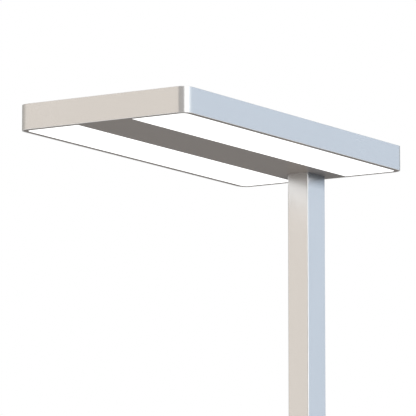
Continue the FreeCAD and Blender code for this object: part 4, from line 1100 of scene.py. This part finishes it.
# %% The foot in its finish
def sprayed_casting(name, tone, wave=0.02):
    """Silver spray on a casting: fine metallic flake over a soft wave."""
    finish = Finish(name, Metallic=0.55, IOR=1.5)
    swell = finish.noise(wave, 1.0)
    flake = finish.noise(0.0005, 2.0)
    cloud = finish.noise(0.08, 3.0)
    return finish.dress((cloud * 0.5 + flake * 0.5, tinted(tone, 0.92), tone),
                        flake * 0.12 + cloud * 0.06 + 0.30, (flake * 0.35 + swell * 0.65, 0.10, 0.0005))


inlet_low, inlet_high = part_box("inlet_socket")
INLET_BORDER = 1.8 * MM
INLET_CORNER = 0.5 * MM
INLET_DEPTH = 9.5 * MM
hole_low = (inlet_low.y + INLET_BORDER, inlet_low.z + INLET_BORDER)
hole_high = (inlet_high.y - INLET_BORDER, inlet_high.z - INLET_BORDER)
foot_mesh = cut_from_front(foot_mesh, hole_low, hole_high, INLET_CORNER,
                           foot_low.x + SKIRT - 5 * MM, foot_low.x + SKIRT + INLET_DEPTH)
foot_finish = sprayed_casting("foot_silver_spray", (0.66, 0.655, 0.645))
place("foot", tidy_mesh(foot_mesh), foot_finish, ["foot_casting"])

# %% The foot's set screws
SET_SCREW_RADIUS = 2.3 * MM
SET_SCREW_SUNK = 0.6 * MM
SET_SCREW_RISE = 25 * MM
set_finish = plated("black_oxide", (0.10, 0.10, 0.10), shine=0.36)
set_screws = []
for seed, side in ((7, -1), (8, 1)):
    seat = (0.0, side * (foot_high.y - SKIRT - SET_SCREW_SUNK), column_low.z + SET_SCREW_RISE)
    set_screws.append(screws([seat], SET_SCREW_RADIUS, set_finish, (-side * math.pi / 2, 0, 0), seed))
place("foot_set_screws", joined(set_screws), set_finish)

# %% The base plate
base_low, base_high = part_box("base_plate")
base_screws_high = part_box("base_screws")[1]
BASE_CORNER = 19.0 * MM
BASE_EDGE = 1.0 * MM
BASE_SCREW_RADIUS = 5.0 * MM
COUNTERBORE_RADIUS = 5.6 * MM
COUNTERBORE_DEPTH = 4.5 * MM
base_outline = box_outline(base_low.xy, base_high.xy, BASE_CORNER, steps=14)
base_mesh = plate_mesh([base_outline], base_low.z, base_high.z, edge=BASE_EDGE, soft=4)
for side in (-1, 1):
    centre = (side * (base_screws_high.x - BASE_SCREW_RADIUS), 0)
    levels = (base_low.z - 1 * MM, base_low.z + COUNTERBORE_DEPTH)
    base_mesh = cut_mesh(base_mesh, ring_mesh("counterbore", [
        circle(COUNTERBORE_RADIUS, z, 48, centre) for z in levels]))
base_finish = sprayed_casting("base_silver_spray", (0.64, 0.635, 0.625), wave=0.05)
place("base", tidy_mesh(base_mesh), base_finish, ["base_plate"])

# %% [markdown]
# ## Glides
#
# Five soft glides keep the steel off the floor, one near each corner and one under the column. A
# glide is a low disc with a bevelled rim. The tree below wraps a hull round two cylinders, a narrow
# one of full height and a wide lower one, and sets it on five points.

# %% The glides' recipe
glide_low, glide_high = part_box("base_glides")
GLIDE_RADIUS = 15.0 * MM
GLIDE_BEVEL = 0.6 * MM
GLIDE_SIDES = 48
glide_recipe = Recipe("glides_on_points", {
    "Radius": "Float", "Height": "Float", "Rim bevel": "Float", "Sides": "Int", "Finish": "Material",
})


def glide_disc(radius, depth):
    return glide_recipe.node("GeometryNodeMeshCylinder", {"fill_type": "NGON"}, {
        "Vertices": glide_recipe["Sides"], "Radius": radius, "Depth": depth})


radius, height, bevel = [glide_recipe[label] for label in ("Radius", "Height", "Rim bevel")]
discs = [glide_disc(radius - bevel, height), glide_disc(radius, height - bevel * 2)]
both = glide_recipe.node("GeometryNodeJoinGeometry", {}, {"Geometry": discs})
hull = glide_recipe.node("GeometryNodeConvexHull", {}, {"Geometry": both})
laid = glide_recipe.node("GeometryNodeInstanceOnPoints", {},
                         {"Points": glide_recipe["Geometry"], "Instance": hull})
glide_recipe.finish_with(laid)
print("the glides' recipe takes", list(glide_recipe.names))

# %% The glides
def soft_rubber(name, tone):
    """Soft moulded rubber: matt, with faint dust in its grain."""
    finish = Finish(name, IOR=1.5)
    dust = finish.noise(0.01, 5.0)
    fine = finish.noise(0.0008, 2.0)
    return finish.dress((dust * 0.5 + fine * 0.5, tone, tinted(tone, 1.5, 0.012)), fine * 0.16 + 0.60,
                        (fine, 0.15, 0.0002))


glide_finish = soft_rubber("glide_rubber", (0.10, 0.10, 0.10))
glide_z = (glide_low.z + glide_high.z) / 2
glide_middles = [(x, y, glide_z) for x in (glide_low.x + GLIDE_RADIUS, glide_high.x - GLIDE_RADIUS)
                 for y in (glide_low.y + GLIDE_RADIUS, glide_high.y - GLIDE_RADIUS)] + [(0.0, 0.0, glide_z)]
glide_mesh = glide_recipe.mesh_from(point_mesh(glide_middles), {
    "Radius": GLIDE_RADIUS, "Height": glide_high.z - glide_low.z, "Rim bevel": GLIDE_BEVEL,
    "Sides": GLIDE_SIDES, "Finish": glide_finish.material})
place("glides", tidy_mesh(glide_mesh), glide_finish, ["base_glides"])

# %% [markdown]
# ## The push buttons
#
# A small moulded bezel in the column's front carries two rocker-sized buttons, one to brighten and
# one to dim. Each button slides by less than a millimetre, so each is its own piece on its own body.
# A button's cap is a loft: straight sides, a rounded edge, and a face that dips slightly for the
# fingertip. Plus and minus are raised by a tenth of a millimetre and filled with white.

# %% A finish for mouldings and the buttons' outlines
def moulded(name, tone, shine=0.42, grain=0.0007):
    """Moulded plastic with the fine spark-eroded grain of its tool."""
    finish = Finish(name, IOR=1.5)
    grit = finish.noise(grain, 2.0)
    flow = finish.noise(0.03, 2.0)
    return finish.dress((flow * 0.6 + grit * 0.4, tinted(tone, 0.93), tinted(tone, 1.06, 0.004)),
                        grit * 0.14 + flow * 0.04 + (shine - 0.08), (grit, 0.14, 0.0002))


BUTTON_GAP = 0.25 * MM
BUTTON_CORNER = 3.0 * MM
BUTTON_HALF = (6.0 * MM, 14.0 * MM)
BUTTON_STEPS = 6
button_boxes = {word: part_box("button_" + word) for word in ("up", "down")}
button_middles = {word: (low.z + high.z) / 2 for word, (low, high) in button_boxes.items()}


def round_middle(middle, half, corner, grow=0.0, steps=10):
    """A rounded rectangle about a height on the column's front."""
    return box_outline((-half[0], middle - half[1]), (half[0], middle + half[1]), corner, grow, steps)


print("the buttons' middles are at", [round(middle, 3) for middle in button_middles.values()], "m")

# %% The control's bezel
BODY_PLAY = 0.3 * MM
BODY_SIDE = 1.2 * MM
BODY_END = 3.7 * MM
FRONT_DEPTH = 2.2 * MM
HOLLOW_CORNER = 0.5 * MM
CONTROL_EDGE = 0.45 * MM
HIDDEN_EDGE = 0.05 * MM
inset_y, inset_z = BODY_PLAY + BODY_SIDE, BODY_PLAY + BODY_END
button_holes = [round_middle(middle, BUTTON_HALF, BUTTON_CORNER, BUTTON_GAP, BUTTON_STEPS)
                for middle in button_middles.values()]
flange_outline = box_outline(control_low.yz, control_high.yz, CONTROL_CORNER + CONTROL_FLANGE, steps=20)
body_outline = box_outline(cut_low, cut_high, CONTROL_CORNER, -BODY_PLAY)
hollow_outline = box_outline((cut_low[0] + inset_y, cut_low[1] + inset_z),
                             (cut_high[0] - inset_y, cut_high[1] - inset_z), HOLLOW_CORNER)
back = control_high.x - FRONT_DEPTH
control_mesh = joined([
    plate_mesh([flange_outline] + button_holes, column_high.x, control_high.x, edge=CONTROL_EDGE, soft=3),
    plate_mesh([body_outline] + button_holes, back, column_high.x, edge=HIDDEN_EDGE, soft=0),
    plate_mesh([body_outline, hollow_outline], control_low.x, back, edge=HIDDEN_EDGE, soft=0)])
control_finish = moulded("control_dark_plastic", (0.035, 0.035, 0.037), shine=0.46)
control_mesh.transform(FACING_FRONT)
place("control_surround", tidy_mesh(control_mesh), control_finish, ["control_bezel"])

# %% A button's cap, flange and stem
button_finish = moulded("button_grey_plastic", (0.40, 0.40, 0.395), shine=0.40)
mark_finish = moulded("mark_white_ink", (0.88, 0.88, 0.86), shine=0.38)
CAP_ROUND = 0.6 * MM
DISH = 0.35 * MM
DISH_REACH = 4.0 * MM
RETAINER = 1.0 * MM
RETAINER_CORNER = 0.6 * MM
STEM_HALF = (2.0 * MM, 2.0 * MM)
STEM_CORNER = 0.4 * MM


def button_mesh(word):
    """Cap, retaining flange and stem of one button."""
    low, high = button_boxes[word]
    middle = button_middles[word]
    flange_front = control_high.x - FRONT_DEPTH - BUTTON_GAP
    rings = [(0.0, flange_front)] + quarter_round(CAP_ROUND, 0, 90, -CAP_ROUND, high.x - CAP_ROUND)
    rings += [(-CAP_ROUND - DISH_REACH * k / 4, high.x - DISH * (1 - math.cos(math.pi * k / 4)) / 2)
              for k in (1, 2, 3, 4)]
    outlines = [round_middle(middle, BUTTON_HALF, BUTTON_CORNER, grow, BUTTON_STEPS) for grow, _ in rings]
    cap = ring_mesh("cap", [[(y, z, x) for y, z in outline] for outline, (_, x) in zip(outlines, rings)])
    flange = plate_mesh([box_outline(low.yz, high.yz, RETAINER_CORNER)],
                        flange_front - RETAINER, flange_front, edge=0.1 * MM, soft=1)
    stem = plate_mesh([round_middle(middle, STEM_HALF, STEM_CORNER)],
                      low.x, flange_front - RETAINER, edge=0.1 * MM, soft=1)
    mesh = joined([cap, flange, stem])
    mesh.transform(FACING_FRONT)
    return tidy_mesh(mesh)


print("a button's face dips by", DISH / MM, "mm")

# %% Plus and minus
MARK_ARM = 2.6 * MM
MARK_HALF = 0.45 * MM
MARK_SUNK = 0.05 * MM
MARK_RAISED = 0.12 * MM
QUARTER_TURNS = ((1, 0), (0, 1), (-1, 0), (0, -1))
plus_corner = [(MARK_ARM, MARK_HALF), (MARK_HALF, MARK_HALF), (MARK_HALF, MARK_ARM)]
marks = {
    "up": [(c * a - s * b, s * a + c * b) for c, s in QUARTER_TURNS for a, b in plus_corner],
    "down": [(a * MARK_ARM, b * MARK_HALF) for a, b in ((-1, -1), (1, -1), (1, 1), (-1, 1))],
}


def mark_mesh(word):
    """The sign on one button, standing a little proud of the face."""
    face = button_boxes[word][1].x - DISH
    mesh = plate_mesh([[(y, button_middles[word] + z) for y, z in marks[word]]],
                      face - MARK_SUNK, face + MARK_RAISED, edge=0.04 * MM, soft=1)
    mesh.transform(FACING_FRONT)
    return mesh


print("points in the signs' outlines:", {word: len(outline) for word, outline in marks.items()})

# %% The two buttons
for word in ("up", "down"):
    ride_on = word + "_button"
    place("button_cap_" + word, button_mesh(word), button_finish,
          ["button_" + word], ride_on)
    place("button_mark_" + word, mark_mesh(word), mark_finish, body=ride_on)

# %% [markdown]
# ## The parts inside
#
# The spine, brackets, trays, boards, driver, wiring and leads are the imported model's own solids: their
# shape is right, so they keep it and only get a finish each. A kept solid is loose triangles, so its
# pattern reads Object coordinates like every other finish here, and nothing needs a UV map.

# %% Finishes for the parts inside
def mill_metal(name, tone, shine=0.34):
    """Bare rolled or cast aluminium: drawn lines, dull patches."""
    finish = Finish(name, Metallic=1.0)
    lines = finish.noise(0.0008, 3.0, "x", 50)
    patch = finish.noise(0.03, 4.0)
    return finish.dress((lines * 0.5 + patch * 0.5, tinted(tone, 0.86), tone),
                        lines * 0.12 + patch * 0.10 + (shine - 0.1), (lines, 0.12, 0.0002))


TRACK_PITCH = 4.0 * MM


def board_finish(name, tone):
    """Solder mask with thin copper tracks that show as faint raised lines."""
    finish = Finish(name, IOR=1.5)
    y = finish.axes()[1]
    line = (finish.maths("PINGPONG", y, TRACK_PITCH) / TRACK_PITCH).step(0.80, 0.92)
    cloud = finish.noise(0.02, 2.0)
    return finish.dress((line * 0.8 + cloud * 0.2, tone, tinted(tone, 0.86)), cloud * 0.08 + 0.28,
                        (line, 0.25, 0.0002))


print("the boards' tracks lie", 2 * TRACK_PITCH / MM, "mm apart")

# %% One finish for each part inside
mill_finish = mill_metal("mill_aluminium", (0.66, 0.66, 0.66))
cast_finish = mill_metal("cast_aluminium", (0.60, 0.60, 0.59), shine=0.46)
tray_finish = powder_coat("tray_white_coat", (0.86, 0.86, 0.86), shine=0.5)
led_board_finish = board_finish("board_white_mask", (0.86, 0.86, 0.84))
driver_finish = moulded("driver_white_case", (0.80, 0.80, 0.79))
terminal_finish = moulded("terminal_pale_plastic", (0.62, 0.65, 0.62))
ribbon_finish = soft_rubber("ribbon_white", (0.60, 0.60, 0.59))
lead_finish = soft_rubber("lead_black", (0.022, 0.022, 0.022))
rubber_finish = soft_rubber("grommet_rubber", (0.018, 0.018, 0.018))
green_finish = board_finish("control_board_green", (0.03, 0.16, 0.08))
plunger_finish = moulded("plunger_pale_plastic", (0.72, 0.70, 0.64), grain=0.0004)
inlet_finish = moulded("inlet_black_plastic", (0.022, 0.022, 0.022), shine=0.38)
pin_finish = plated("nickel_pins", (0.76, 0.74, 0.69), shine=0.2)

KEPT = {
    "centre_spine": mill_finish, "front_end_bracket": zinc_finish, "rear_end_bracket": zinc_finish,
    "led_driver": driver_finish, "terminal_block": terminal_finish, "head_wiring": ribbon_finish,
    "head_mount_plate": cast_finish, "head_mount_screws": zinc_finish, "cable_grommet": rubber_finish,
    "mains_lead": lead_finish, "control_lead": ribbon_finish, "control_board": green_finish,
    "up_switch_plunger": plunger_finish, "down_switch_plunger": plunger_finish, "base_screws": zinc_finish,
    "inlet_socket": inlet_finish, "inlet_pins": pin_finish, "inlet_boot": rubber_finish,
}
for word in ("left", "right"):
    KEPT[word + "_reflector_tray"] = tray_finish
    KEPT[word + "_downlight_board"] = led_board_finish
    KEPT[word + "_uplight_board"] = led_board_finish
for name, finish in KEPT.items():
    wear(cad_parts[name].data, finish)
print("kept nodes with a finish:", len(KEPT))

# %% [markdown]
# ## Closing
#
# The master screw was only a pattern, so it goes. The visual model must stay inside the packed
# model's box.

# %% End
bpy.data.objects.remove(master_screw)
